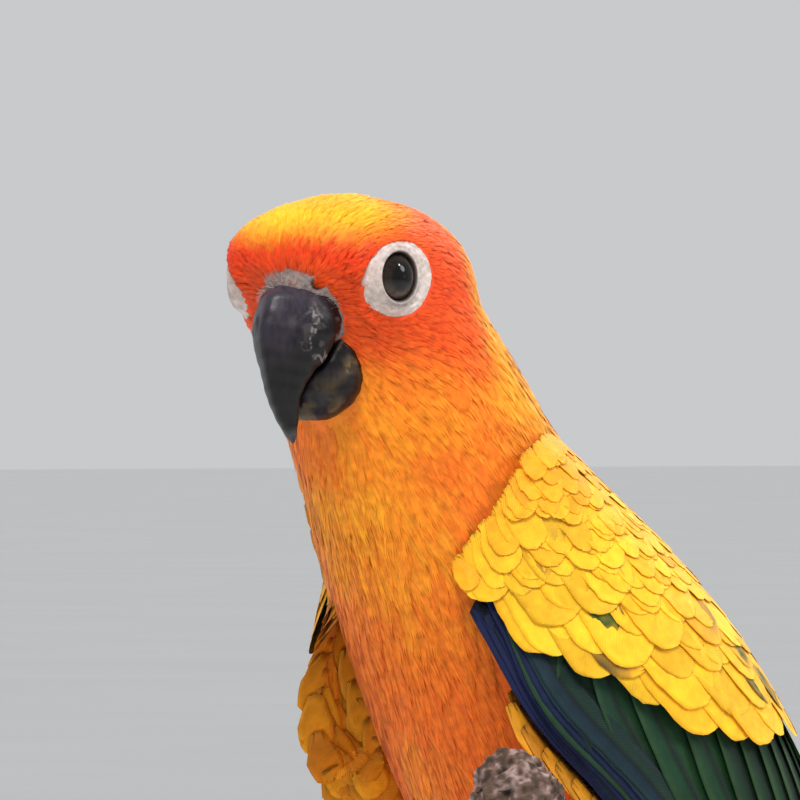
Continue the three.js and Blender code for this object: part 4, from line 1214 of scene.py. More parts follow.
def grow_tail():
    coat = Coat()
    r = np.random.default_rng(77)
    for side in (1, -1):
        for k, (length, width) in enumerate(zip(TAIL_LENGTHS, TAIL_WIDTHS)):
            t = np.linspace(0, 1, 44)
            middle = 2.2 if k == 0 else width / 2 + 0.2 + 0.35 * k
            height = 2.2 + 0.85 if k == 0 and side > 0 else 2.2 - 0.85 * k
            run = 1.3 + t * (length - 1)
            across = side * middle * (0.62 + 0.38 * np.minimum(1, 2 * t))
            line = tail_point(across, height + 0 * t, run)
            w = (0.55 + 0.45 * ease(t, 0, 0.35)) * (1 - 0.6 * ease(t, 0.55, 1.0) ** 1.4)
            w = w * np.sqrt(np.clip(1 - ((t - 0.93) / 0.0702).clip(0) ** 2, 0, 1)) * width
            outer = 0.42 if k else 0.5
            inner_w, outer_w = (w * (1 - outer), w * outer) if side > 0 else (w * outer, w * (1 - outer))
            chord, out = (np.broadcast_to(way, line.shape) for way in (tail_way(1, 0), tail_way(0, 1)))
            ring, along, cross, stripe = vane(line, chord, out, inner_w, outer_w, 13, 0.24,
                                              int(r.integers(1e6)), jag=0.15, curl=0.008, shaft=0.24)
            coat.add(ring, along, cross, stripe, tail_color(int(r.integers(1e6)), k / 5)(along, cross, ring),
                     (0.5 + side * (0.06 + 0.07 * k), 0.3))
    coat.build("tail_feathers", vane_mat, ["tail"], "tail_feathers")
    covers = Coat()
    for way, reach, level, base in ((1, 42, 4.1, 5.6), (-1, 54, -3.9, -6.6)):
        for row in range(9):
            count = 9 - row // 2
            for k in range(count):
                offset = 2 * (k + 0.5 * (row % 2)) / (count - 0.5) - 1
                if abs(offset) > 1:
                    continue
                length = 15 + 4 * (1 - row / 6)
                end = reach * (1 - 0.28 * offset**2) - row * (reach - 10) / 7.2
                t = np.linspace(0, 1, 13)
                run = end - length * (1 - t)
                share = np.clip(run / reach, -0.1, 1)
                high = base + (level - base) * share - way * (1.6 + 2.0 * (1 - share)) * offset**2
                high = high + way * 0.14 * row
                beside = offset * (8.4 + 1.5 * (1 - share))
                line = tail_point(beside, high, run)
                halves = leaf_halves(t, 6.6 - 0.35 * row)
                chord, out = (np.broadcast_to(q, line.shape) for q in (tail_way(1, 0), tail_way(0, way)))
                ring, along, cross, stripe = vane(line, chord, out, halves, halves, 7, 0.14,
                                                  int(r.integers(1e6)), jag=0.5, curl=0.015, shaft=0.05)
                ground = mix(LIME, GOLD, 0.35 + 0.4 * row / 6)
                if way > 0:
                    ground = mix(mix(LIME, OLIVE, 0.5), GOLD, min(1, row / 6))
                # Painted shade: each covert is darker toward its root, under the row before it
                tint = ground * r.uniform(0.85, 1.1) * (0.82 + 0.2 * ease(along, 0, 0.8))[..., None]
                spot = 0.5 + 0.3 * offset, 0.5 + 0.3 * way * (row + 1) / 8
                covers.add(ring, along, cross, stripe, tint, spot)
    covers.build("tail_coverts", vane_mat, (), "tail_feathers")


grow_tail()

# The bill and the cere

# Rings of the bill's halves and the cere, from the top down, in the head's own directions
UPPER_BILL = {
    "up": [-1.3, -3, -5.2, -8, -10.7, -13.3, -16.7, -19.7, -22, -22.9],
    "fore": [11.6, 12, 12.5, 13.2, 14, 15.2, 16.6, 15.9, 14.9, 14.5],
    "half": [3.2, 4.8, 5.6, 6, 5.2, 3.9, 2.5, 1.6, 0.66, 0.1],
    "front": [4.3, 7, 7.9, 8.1, 7.1, 5.1, 2.4, 1.4, 0.55, 0.1],
    "rear": [3, 4, 4.5, 4.4, 2.2, 1.1, 1.4, 1.1, 0.5, 0.1],
    "narrow": [0.2, 0.35, 0.45, 0.5, 0.45, 0.4, 0.3, 0.2, 0, 0],
}
LOWER_BILL = {
    "up": [-8.6, -11, -14.4, -17, -19, -19.9],
    "fore": [8.6, 9, 9, 9, 9.2, 9.4],
    "half": [4.8, 6.1, 6.6, 5.7, 3.8, 1.8],
    "front": [4.4, 5.2, 5.6, 5.4, 4, 2],
    "rear": [3, 5, 5.6, 4.6, 3, 1.6],
    "narrow": [0.1, 0.2, 0.2, 0.15, 0.1, 0],
}
CERE = {
    "up": [0, -1.5, -3.6, -6.2, -8.6, -9.6],
    "fore": [10.4, 10.6, 10.8, 10.8, 10.6, 10.4],
    "half": [3, 5, 6, 6.05, 5.3, 4.4],
    "front": [4.4, 6.2, 6.4, 4.7, 3.0, 2.2],
    "rear": [3, 3, 3, 3, 3, 2.4],
    "narrow": [0.1, 0.15, 0.2, 0.2, 0.1, 0],
}
NOSTRIL = (4.1, 14.9, -2.3)


def head_loft(table, rows_count, sides):
    """A closed form of the head, ring by ring from a table in the head's own directions."""
    spot = np.linspace(0, len(table["up"]) - 1, rows_count)
    angle = np.linspace(0, 2 * math.pi, sides, endpoint=False)
    spots, angles = np.meshgrid(spot, angle, indexing="ij")
    ring = {key: smooth_at(values, spots) for key, values in table.items()}
    ring.update(back=-ring["fore"], lean=0 * spots, turn=0 * spots)
    return ring_points(ring, angles, 0.0)


def head_piece(name, local, nodes, mat, slot, colors, extra=None):
    flat, faces = closed_grid(in_head(local * [1, -1, 1]))
    more = {key: capped(values) for key, values in (extra or {}).items()}
    place(make(name, flat, faces, capped(colors), extra=more), mat, nodes, slot)


def bill_build(tree, shader):
    stops = [(0.32, (0.55, 0.52, 0.55)), (0.52, (1, 1, 1)), (0.74, (1.5, 1.46, 1.5))]
    mottled(tree, shader, 300, 7, stops, (2.6, 2.6, 1))
    wear = value_of(tree, "wear")
    rough = node(tree, "ShaderNodeMapRange")
    rough.inputs["To Min"].default_value, rough.inputs["To Max"].default_value = 0.33, 0.8
    tree.links.new(wear, rough.inputs["Value"])
    tree.links.new(rough.outputs["Result"], shader.inputs["Roughness"])
    bumped(tree, shader, place_noise(tree, 900, 6, (2.2, 2.2, 1)), 0.00012, 0.5)


bill_mat = material("bill_horn", 0.35, bill_build, Specular_IOR_Level=0.2, Coat_Weight=0.04,
                    Coat_Roughness=0.3)

DARK_HORN = np.array([0.0045, 0.0036, 0.0042])
# Plum-grey: a mottled tone of the horn, and a painted sheen on the top of the upper bill
PLUM_TONE_AND_SHEEN = np.array([0.045, 0.037, 0.055])
SCUFF = np.array([0.17, 0.115, 0.045])
FLAKE = np.array([0.13, 0.115, 0.11])


def shape_bill():
    local = head_loft(UPPER_BILL, 190, 200)
    out = normals_of(local)
    lx, ly, lz = np.abs(local[..., 0]), -local[..., 1], local[..., 2]
    ridge = np.exp(-(lx / 1.3) ** 2) * (ly > 14)
    rings = 0.05 * np.sin(3.1 * lz + 0.6 * lx) * ease(-lz, 3, 9)
    n = layered(local, 2.6, 21)
    flat = 0.12 * ridge + rings * 0.6 + 0.1 * n * ease(lx, 2, 5)
    tooth = 0.5 * np.exp(-((lz + 11.8) / 1.2) ** 2 - ((ly - 14.6) / 2.4) ** 2)
    local = local + out * (flat - 0.55 * ease(lz, -4.2, -1.8))[..., None]
    local[..., 2] -= tooth
    # Painted sheen: the top of the upper bill toward its front is mixed to plum-grey
    painted_sheen = ease(ly - 13 + 0.55 * (lz + 8), 1.5, 7) * ease(lz, -17, -2)
    c = mix(np.broadcast_to(DARK_HORN, (*lx.shape, 3)), PLUM_TONE_AND_SHEEN, 0.75 * painted_sheen + 0.14 * ease(n, 0, 0.7))
    flakes = ease(layered(local, 1.1, 23), 0.2, 0.32) * ease(lx, 2.6, 5.2)
    flakes = flakes * ease(-lz, 2.5, 6) * (1 - ease(-lz, 10.5, 13))
    edge = ease(layered(local * [1, 1, 0.6], 0.9, 25), 0.05, 0.4)
    edge = edge * np.exp(-((lz + 4.6 + 0.4 * (ly - 14)) / 0.9) ** 2)
    c = mix(c, FLAKE * 0.7, np.clip(0.4 * flakes + 0.75 * edge * ease(lx, 2, 4), 0, 0.8))
    c = mix(c, np.array([0.11, 0.10, 0.105]), 0.6 * ease(-lz, 20.5, 22.4))
    cells = np.abs(layered(local * [1, 1, 0.8], 1.9, 27))
    veins = (1 - ease(cells, 0.02, 0.07)) * ease(lx, 3.2, 5) * ease(-lz, 4, 6) * (1 - ease(-lz, 12.5, 14))
    c = mix(c, np.array([0.26, 0.235, 0.22]), 0.7 * veins * ease(n, -0.35, 0.1))
    wear = np.clip(flakes + edge, 0, 1)
    head_piece("bill_upper_horn", local, ["bill_upper"], bill_mat, "bill", c, {"wear": wear})
    horn_points, horn_faces = closed_grid(local)
    horn_tree = BVHTree.FromPolygons(horn_points.tolist(), horn_faces.tolist())
    local = head_loft(LOWER_BILL, 90, 112)
    out = normals_of(local)
    lx, ly, lz = local[..., 0], -local[..., 1], local[..., 2]
    n = layered(local, 2.4, 31)
    reach = [horn_tree.find_nearest(Vector(q))[3] for q in local.reshape(-1, 3)]
    reach = np.array(reach).reshape(lx.shape)
    mouth = (1 - ease(reach, 0.35, 1.0)) * ease(lz, -17.5, -14)
    local = local + out * (0.12 * n + 0.05 * np.sin(3.4 * lz) - 1.15 * mouth)[..., None]
    c = mix(np.broadcast_to(DARK_HORN * 1.1, (*lx.shape, 3)), PLUM_TONE_AND_SHEEN * 0.8, 0.4 * ease(n, -0.2, 0.6))
    streak = np.exp(-((lz + 14.2 + 1.3 * np.sin(1.1 * ly)) / 1.1) ** 2) * ease(np.abs(lx), 2.0, 4.4)
    stains = ease(layered(local, 1.5, 33), 0.08, 0.36)
    brown = np.clip(streak * (0.25 + stains) + 0.55 * stains * ease(-lz, 16.2, 18.2), 0, 1)
    c = mix(c, SCUFF, 0.75 * brown)
    lip = np.exp(-((reach - 1.05) / 0.22) ** 2) * ease(lz, -13, -9.5)
    c = mix(c, np.array([0.16, 0.145, 0.135]), 0.55 * lip)
    # Painted shade: the groove where the lower bill meets the upper is coloured near black
    c = mix(c, np.array([0.002, 0.0015, 0.0015]), mouth)
    c = mix(c, FLAKE, 0.5 * np.exp(-((lz + 9.8) / 0.7) ** 2) * ease(layered(local, 0.8, 35), 0, 0.4))
    head_piece("bill_lower_horn", local, ["bill_lower"], bill_mat, "bill", c, {"wear": brown})


def bare_build(tree, shader):
    mottled(tree, shader, 1300, 6, [(0.3, (0.72, 0.69, 0.67)), (0.72, (1.12, 1.1, 1.1))])
    bumped(tree, shader, place_noise(tree, 2200, 5), 0.0002, 0.7)


bare_mat = material("bare_skin", 0.6, bare_build, Subsurface_Weight=0.15, Subsurface_Scale=0.0015,
                    Specular_IOR_Level=0.35)
PALE_SKIN = np.array([0.56, 0.49, 0.46])
PINK_SKIN = np.array([0.52, 0.36, 0.33])
GREY_SKIN = np.array([0.16, 0.14, 0.135])


def shape_cere():
    local = head_loft(CERE, 96, 144)
    out = normals_of(local)
    lx, ly, lz = local[..., 0], -local[..., 1], local[..., 2]
    local = local + out * (0.16 * layered(local, 1.3, 41) + 0.1 * noise(local, 0.5, 43))[..., None]
    pit = np.zeros(lx.shape)
    for side in (1, -1):
        d = np.sqrt((lx - side * NOSTRIL[0]) ** 2 + (ly - NOSTRIL[1]) ** 2 + ((lz - NOSTRIL[2]) * 1.15) ** 2)
        pit = np.maximum(pit, 1 - ease(d, 0.5, 1.1))
        rim = np.exp(-((d - 1.3) / 0.4) ** 2)
        local = local + out * (0.2 * rim)[..., None]
    local = local - out * (0.75 * pit)[..., None]
    n = layered(local, 1.6, 45)
    c = mix(np.broadcast_to(PALE_SKIN * 0.33, (*lx.shape, 3)), PINK_SKIN * 0.45, ease(n, -0.2, 0.5) * 0.6)
    c = mix(c, GREY_SKIN, 0.6 * ease(layered(local, 0.9, 47), 0.0, 0.4))
    # Painted shade: the sunken nostril pits are coloured dark red-brown
    c = mix(c, np.array([0.045, 0.012, 0.01]), pit)
    head_piece("cere_skin", local, ["cere"], bare_mat, "bare_skin", c)
    # Short pale bristles over the cere
    r = np.random.default_rng(48)
    seen = (lz > -8.4) & (lz < -0.6) & (ly > 12.5) & (pit < 0.3)
    places = local[seen][r.integers(0, seen.sum(), int(900 * DENSE))]
    points, faces, tints = [], [], []
    for count, q in enumerate(places):
        radial = unit(np.array([q[0], 0, q[2] + 5.4]))
        lift_way = unit(radial * 0.9 + np.array([0, -0.75, 0]) + r.normal(0, 0.3, 3))
        side_way = unit(np.cross(lift_way, [0, -1, 0.2]))
        size = r.uniform(0.5, 1.1)
        points += [q - side_way * 0.045, q + side_way * 0.045, q + lift_way * size]
        faces.append((3 * count, 3 * count + 1, 3 * count + 2))
        tint = mix(np.array([0.5, 0.46, 0.43]), RED + 0.1, float(r.random() > 0.75) * 0.7)
        tints += [tint * r.uniform(0.7, 1.1)] * 3
    bristles = in_head(np.array(points) * [1, -1, 1])
    thing = make("cere_bristles", bristles, np.array(faces), np.clip(tints, 0, 1))
    place(thing, bare_mat, [], "bare_skin")


shape_bill()
shape_cere()

# The eyes and the bare skin round them


def eye_build(tree, shader):
    mottled(tree, shader, 1500, 5, [(0.3, (0.6, 0.6, 0.6)), (0.7, (1.35, 1.3, 1.25))], (1, 1, 1))


eye_mat = material("eye_iris", 0.2, eye_build, Coat_Weight=0.5, Coat_Roughness=0.03, Specular_IOR_Level=0.02)


def shape_eye(side):
    name = "left" if side > 0 else "right"
    rows_count, sides = 70, 96
    theta = np.linspace(0, math.pi, rows_count)
    phi = np.linspace(0, 2 * math.pi, sides, endpoint=False)
    thetas, phis = np.meshgrid(theta, phi, indexing="ij")
    bulge = 0.16 * np.exp(-(thetas / 0.62) ** 2)
    r = (EYE_RADIUS - 0.06) * np.sin(thetas) * (1 + bulge * 0.2)
    height = (EYE_RADIUS - 0.06 + bulge) * np.cos(thetas)
    ball = eye_point(side, r, phis, height)
    spoke = 0.5 + 0.5 * noise(np.stack([np.cos(phis) * 6, np.sin(phis) * 6, thetas * 3], -1), 0.7, 51)
    # Painted light: the lower part of the iris, where light from above through the cornea falls, is brown; the rest
    # stays near black
    below = ease(np.sin(phis), 0.1, 0.95) * ease(r, 1.8, 2.3) * (1 - ease(r, 2.75, 3.05))
    c = mix(np.broadcast_to(np.array([0.006, 0.0035, 0.0025]), (*r.shape, 3)), np.array([0.02, 0.011, 0.007]),
            spoke * ease(r, 1.5, 2.2))
    c = mix(c, np.array([0.075, 0.045, 0.03]), below * (0.45 + 0.4 * spoke))
    c = mix(c, np.array([0.0012, 0.001, 0.001]), 1 - ease(r, 1.65, 1.85))
    flat, faces = closed_grid(ball)
    place(make(f"eyeball_{name}", flat, faces, capped(c)), eye_mat, [f"eye_{name}"], "eye")
    # The bare ring: lid rims, folds, and an outer edge that sinks under the feathers
    columns = 160
    phi = np.linspace(0, 2 * math.pi, columns, endpoint=False)
    opening = EYE_OPENING * (1 - 0.035 * np.cos(2 * phi) + 0.02 * np.cos(phi))
    reach = orbit_reach(phi)
    rim_steps = [(0, 3.05), (0.0, 3.3), (0.06, 3.5), (0.18, 3.66), (0.34, 3.74), (0.5, 3.72), (0.62, 3.62)]
    profile = []
    for inset, high in rim_steps:
        profile.append((opening + inset, np.full(columns, high)))
    start_r = profile[-1][0]
    from_front = phi + np.where(phi > math.pi, -2, 0) * math.pi
    edge = orbit_edge(phi) - 0.45 * np.exp(-((from_front - 0.4) / 1.0) ** 2)
    for k in range(1, 31):
        u = k / 30
        rr = start_r + (reach + 0.7 - start_r) * u
        seen = np.minimum(1, (rr - start_r) / (reach - start_r))
        hh = 3.62 + (edge - 3.62) * ease(seen, 0.0, 1.0) - 1.1 * ease(rr - reach, -0.15, 0.7)
        hh = hh + 0.10 * np.exp(-((u - 0.16) / 0.07) ** 2)
        profile.append((rr, hh))
    r = np.array([q[0] for q in profile])
    height = np.array([q[1] for q in profile])
    phis = np.broadcast_to(phi, r.shape)
    lower = np.exp(-((phis - math.pi / 2) / 0.85) ** 2)
    flat_place = np.stack([r * np.cos(phis), r * np.sin(phis), 0 * r], -1)
    folds = 0.05 * np.sin(7.5 * r + 2.2 * noise(flat_place, 1.6, 61))
    folds = folds * ease(r, 3.3, 3.8) * (1 - ease(r, 4.4, 5.4))
    pebble = 0.06 * noise(flat_place, 0.42, 62) + 0.05 * noise(flat_place, 0.22, 63)
    height = height + (folds + pebble) * ease(r, 3.2, 3.7)
    p = eye_point(side, r, phis, height)
    n = layered(flat_place, 1.1, 64)
    c = mix(np.broadcast_to(PALE_SKIN * 1.08, (*r.shape, 3)), PINK_SKIN, 0.35 * ease(n, -0.1, 0.6))
    rim = 1 - ease(r - opening, 0.12, 0.34)
    c = mix(c, np.array([0.035, 0.028, 0.028]), rim)
    lid = np.exp(-((r - opening - 0.62) / 0.4) ** 2) * (0.2 + 0.6 * lower)
    c = mix(c, GREY_SKIN, lid)
    place(make(f"orbit_{name}", p.reshape(-1, 3), grid_triangles(*r.shape), c.reshape(-1, 3)), bare_mat,
          [f"eye_ring_{name}"], "bare_skin")


for eye_side in (1, -1):
    shape_eye(eye_side)

# Tubes: legs, toes, branch


def tube(points, radii, sides, rows_count, wobble=None):
    """A closed tube along a smooth line, as a grid of points."""
    line = Line(points)
    share = np.linspace(0, 1, rows_count)
    middle = line.at(share)
    run = line.way(share)
    radius = smooth_at(radii, share * (len(radii) - 1))
    first = unit(np.cross(run[0], [0.31, 0.2, 0.93]))
    normals = [first]
    for k in range(1, rows_count):
        normals.append(unit(normals[-1] - run[k] * np.dot(normals[-1], run[k])))
    normals = np.array(normals)
    sideways = np.cross(run, normals)
    phi = np.linspace(0, 2 * math.pi, sides, endpoint=False)
    radius = np.broadcast_to(radius[:, None], (rows_count, sides))
    if wobble is not None:
        radius = radius * (1 + wobble(share[:, None], phi[None]))
    return (middle[:, None] + normals[:, None] * (radius * np.cos(phi))[..., None]
            + sideways[:, None] * (radius * np.sin(phi))[..., None])


def foot_build(tree, shader):
    mottled(tree, shader, 900, 5, [(0.3, (0.6, 0.58, 0.56)), (0.7, (1.25, 1.22, 1.2))])
    cells = node(tree, "ShaderNodeTexVoronoi", in_Scale=1500.0, feature="DISTANCE_TO_EDGE")
    where = node(tree, "ShaderNodeTexCoord")
    tree.links.new(where.outputs["Object"], cells.inputs["Vector"])
    bumped(tree, shader, cells.outputs["Distance"], 0.00035, 0.8)


foot_mat = material("foot_scales", 0.6, foot_build, Specular_IOR_Level=0.35)
claw_mat = material("claw_horn", 0.32, bill_build, Specular_IOR_Level=0.5)
SCALE_DARK = np.array([0.13, 0.115, 0.105])
SCALE_PALE = np.array([0.25, 0.21, 0.19])
CLAW_HORN = np.array([0.02, 0.018, 0.017])


def limb_radius(x):
    return LIMB_RADIUS + 0.35 * np.sin(0.11 * x + 1) + 0.2 * np.sin(0.31 * x)


def gather(name, grids, mat, nodes, tint):
    """Joins the parts of a foot into one piece."""
    points, faces, tints, base = [], [], [], 0
    for g in grids:
        flat, tris = closed_grid(g)
        points.append(flat)
        faces.append(tris + base)
        base += len(flat)
        tints.append(capped(tint(g)))
    wear = np.full(base, 0.3)
    thing = make(name, np.vstack(points), np.vstack(faces), np.vstack(tints), extra={"wear": wear})
    place(thing, mat, nodes, "foot_scales")


def foot_tint(g):
    n = layered(g, 1.5, 71)
    return mix(np.broadcast_to(SCALE_DARK, (*g.shape[:2], 3)), SCALE_PALE, ease(n, -0.3, 0.5))


def claw_tint(g):
    return np.broadcast_to(CLAW_HORN, (*g.shape[:2], 3)).copy()


# Two toes before and two behind: fore or back, how far outward, length, radius
TOES = [(-1, 4.6, 20, 2.1), (-1, -3.2, 17, 2.0), (1, 4, 18, 2.0), (1, -3, 12, 1.8)]


def grow_foot(side):
    name = "left" if side > 0 else "right"
    foot_x = side * FOOT_SPACING / 2
    scaly, claws = [], []
    for way, spread, length, radius in TOES:
        spread = spread * side
        reach = float(limb_radius(foot_x)) + radius + 0.4

        def toe_point(run, lift):
            a = run / reach
            x = foot_x + spread * math.sin(min(run / length, 1) * 1.4)
            height = (reach + lift) * math.cos(a) - float(limb_radius(foot_x))
            return [x, way * (reach + lift) * math.sin(a), height]

        scutes = int(length * 1.15)

        def scute(u, phi):
            step = 1 - np.abs(((u * scutes) % 1) * 2 - 1) ** 3
            pads = 0.05 * np.cos(3 * u * math.pi * 2)
            return 0.06 * (step - 0.5) + pads * 0.6

        line = [toe_point(part * length, 0) for part in (-0.1, 0.15, 0.4, 0.62, 0.82, 1)]
        joints = [f * radius * 0.97 for f in (1, 1.08, 0.9, 1.02, 0.84, 0.95, 0.8, 0.6)]
        scaly.append(tube(line, joints, 26, 120, scute))
        bends = ((0.9, 0.4), (1.08, 0.9), (1.22, 0.5), (1.36, -0.6))
        hook = [toe_point(part * length, lift) for part, lift in bends]
        claws.append(tube(hook, [f * radius for f in (0.62, 0.6, 0.4, 0.1)], 20, 40))
    shank = tube([[foot_x, 1.5, 13.5], [foot_x, 0.8, 8], [foot_x, 0, 2.9]], [2.5, 2.4, 2.8], 40, 60,
                 lambda u, phi: 0.03 * np.sin(u * 60 + np.floor(phi * 1.6) * 2))
    scaly.append(shank)
    gather(f"foot_scales_{name}", scaly, foot_mat, [f"foot_{name}"], foot_tint)
    gather(f"claws_{name}", claws, claw_mat, [], claw_tint)


for foot_side in (1, -1):
    grow_foot(foot_side)


def thigh_color(p):
    n = layered(p, 5, 81)
    c = mix(np.broadcast_to(ORANGE, p.shape), EMBER, ease(n, -0.3, 0.6))
    return mix(c, LIME * 0.9, 0.45 * ease(16 - p[..., 2], 0, 6))


def grow_thigh(side):
    global skin_tree
    name = "left" if side > 0 else "right"
    foot_x = side * FOOT_SPACING / 2
    line = [[foot_x + side, 3, 34], [foot_x + 0.5 * side, 0.5, 20], [foot_x, 0.8, 7.4]]
    grid = tube(line, [8.2, 7.5, 3.1], 48, 50)
    flat, faces = closed_grid(grid)
    spot = np.stack([0.5 + flat[:, 0] / 80, 0.5 + flat[:, 2] / 80], -1)
    thing = make(f"thigh_skin_{name}", flat, faces, thigh_color(flat), uv=spot)
    place(thing, skin_mat, [f"thigh_{name}"], "plumage")
    body_tree = skin_tree
    skin_tree = BVHTree.FromPolygons(flat.tolist(), faces.tolist())
    r = np.random.default_rng(90 + side)
    count = int(1500 * DENSE)
    u, v = r.random(count), r.random(count)
    i = (u * (grid.shape[0] - 2)).astype(int)
    j = (v * grid.shape[1]).astype(int)
    roots = grid[i, j] + r.normal(0, 0.3, (count, 3))
    roots = roots[roots[:, 2] < 31]
    grow_feathers(f"thigh_feathers_{name}", roots, lambda p: 4.2 + 3.2 * ease(p[..., 2], 8, 24),
                  even(2.7), even(0.6), neck_tufts, 91 + side,
                  color=thigh_color, flow=lambda p: np.array([0, 0.12, -1.0]))
    skin_tree = body_tree


for thigh_side in (1, -1):
    grow_thigh(thigh_side)

# The branch


def bark_build(tree, shader):
    stops = [(0.3, (0.55, 0.52, 0.5)), (0.52, (1, 0.97, 0.95)), (0.75, (1.45, 1.38, 1.34))]
    mottled(tree, shader, 500, 8, stops)
    bumped(tree, shader, place_noise(tree, 1100, 9), 0.0006, 0.9)


bark_mat = material("bark", 0.85, bark_build, Specular_IOR_Level=0.2)
BARK = np.array([0.105, 0.078, 0.06])
BARK_DARK = np.array([0.03, 0.022, 0.018])
BARK_PALE = np.array([0.27, 0.215, 0.19])
WOOD = np.array([0.36, 0.25, 0.19])
ROT_DARK = np.array([0.12, 0.075, 0.058])
ROT_PALE = np.array([0.36, 0.265, 0.25])


def bark_tint(points, lift):
    # Painted light and shade by relief: paler where the bark stands up, darker where it lies low and in its cracks
    c = mix(np.broadcast_to(BARK, points.shape), BARK_PALE, ease(lift, 0.1, 0.75))
    return mix(c, BARK_DARK, ease(-lift, 0.0, 0.6))


def grow_branch():
    rows_count, sides = 300, 150
    x = np.linspace(-LIMB_HALF, LIMB_HALF, rows_count)
    phi = np.linspace(0, 2 * math.pi, sides, endpoint=False)
    xs, phis = np.meshgrid(x, phi, indexing="ij")
    end = 0.8 * np.sin(3 * phis + (xs > 0) * 16) * ease(np.abs(xs), LIMB_HALF - 3, LIMB_HALF)
    radius = limb_radius(xs) - 0.25
    flat = np.stack([xs + end, radius * np.sin(phis), radius * np.cos(phis) - limb_radius(xs)], -1)
    rough = layered(flat * [0.35, 1, 1], 2.2, 101) + 0.4 * noise(flat * [0.5, 1, 1], 0.8, 103)
    crack = -np.maximum(0, 0.25 - np.abs(noise(flat * [0.3, 1, 1], 3.1, 105))) * 3
    lift = rough * 0.42 + crack * 0.5
    out = np.stack([0 * xs, np.sin(phis), np.cos(phis)], -1)
    grip = np.exp(-((np.abs(xs) - FOOT_SPACING / 2) / 6.5) ** 4)
    p = flat + out * (np.minimum(lift, 0.25) * (1 - 0.7 * grip))[..., None]
    # Sawn ends with growth rings
    caps = []
    for way, row in ((-1, p[0]), (1, p[-1])):
        middle = row.mean(0)
        caps.append(np.array([middle + (row - middle) * k + [way * 0.15 * math.sin(k * 22), 0, 0]
                              for k in np.linspace(0.12, 0.96, 26)]))
    grid = np.concatenate([caps[0], p, caps[1][::-1]])
    tint = bark_tint(p, lift)
    ringed = []
    for cap in caps:
        k = np.linspace(0.12, 0.96, 26)[:, None]
        wave = 0.5 + 0.5 * np.sin(k * 46 + 0.8 * noise(cap, 3, 107))
        ringed.append(mix(np.broadcast_to(WOOD, cap.shape), WOOD * 0.55, wave * 0.7))
    colors = capped(np.concatenate([ringed[0], tint, ringed[1][::-1]]))
    flat_points, faces = closed_grid(grid)
    place(make("branch", flat_points, faces, np.clip(colors, 0, 1)), bark_mat, ["perch_limb"], "bark")


def grow_stub():
    line = [[34, 1, -8], [34.5, -13, -5], [33.5, -26, 7], [29.8, -34, 26], [27, -36.2, 45], [26, -36.2, 57]]
    rows_count, sides = 260, 170
    grid = tube(line, np.array([5.6, 5.8, 6, 6.3, 6.7, 6.6]) - 0.15, sides, rows_count)
    middle = grid.mean(1, keepdims=True)
    # The snapped top: a weathered dome, highest off the middle, all pits and splinters
    top = grid[-1]
    centre = top.mean(0)
    dome_rows = []
    for k in np.sqrt(1 - np.linspace(0.02, 0.998, 70)):
        ring = centre + (top - centre) * k
        dome_rows.append(ring + np.array([-0.9 * (1 - k), 0.6 * (1 - k), 5.8 * (1 - k**2.2)]))
    dome = np.array(dome_rows)
    full = np.concatenate([grid, dome])
    out = np.concatenate([unit(grid - middle), unit(dome - centre + [0, 0, 1.2])])
    snapped = np.concatenate([ease(grid[..., 2], 48, 57), np.ones(dome.shape[:2])])
    rough = layered(full * [1, 1, 0.45], 2.4, 111) + 0.5 * noise(full * [1, 1, 0.6], 0.8, 113)
    pit = -np.maximum(0, 0.22 - np.abs(noise(full * [1, 1, 0.4], 3.4, 115))) * 3
    lift = rough * 0.5 + pit * 0.5
    knobs = 1.1 * noise(full, 3.4, 117) + 0.45 * noise(full, 1.5, 119) + 0.3 * noise(full, 0.6, 121)
    holes = -1.1 * ease(-noise(full, 2.1, 122), 0.22, 0.55)
    relief = np.minimum(lift * 0.8, 0.45) * (1 - snapped) + (1.15 * knobs + holes) * snapped
    p = full + out * relief[..., None]
    p[..., 2] = np.minimum(p[..., 2], 62.6)
    tint = bark_tint(full, lift)
    depth = noise(full, 1.2, 121) + 0.6 * noise(full, 0.5, 123)
    inner = mix(np.broadcast_to(ROT_DARK, full.shape), ROT_PALE, ease(depth, 0.0, 0.8))
    # Dark rotten patches where the noise runs low, and painted shade in the holes
    rot_and_pit_shade = np.clip(0.7 * ease(-depth, 0.1, 0.7) + 0.9 * ease(-holes, 0.3, 1.0), 0, 1)
    inner = mix(inner, BARK_DARK * 0.6, rot_and_pit_shade)
    colors = mix(tint, inner, 0.25 + 0.7 * snapped)
    flat, faces = closed_grid(p)
    place(make("branch_stub", flat, faces, np.clip(capped(colors), 0, 1)), bark_mat, ["perch_stub"], "bark")


grow_branch()
grow_stub()

# The display stand


def lathe(profile, sides, centre):
    """A turned form: its profile goes once round the upright line through the centre."""
    r, z = np.array(profile, float).T[..., None]
    phi = np.linspace(0, 2 * math.pi, sides, endpoint=False)
    return np.stack([r * np.cos(phi), r * np.sin(phi), z + 0 * phi], -1) + np.asarray(centre, float)


def rounded(profile, steps=5):
    """A profile with its corners eased by short curves."""
    out = [profile[0]]
    for a, b, c in zip(profile, profile[1:], profile[2:]):
        a, b, c = (np.array(q, float) for q in (a, b, c))
        reach = 0.35 * min(np.linalg.norm(b - a), np.linalg.norm(c - b), 2.5)
        start, end = b + unit(a - b) * reach, b + unit(c - b) * reach
        for k in range(steps + 1):
            u = k / steps
            out.append(tuple((1 - u) ** 2 * start + 2 * u * (1 - u) * b + u * u * end))
    out.append(profile[-1])
    return out


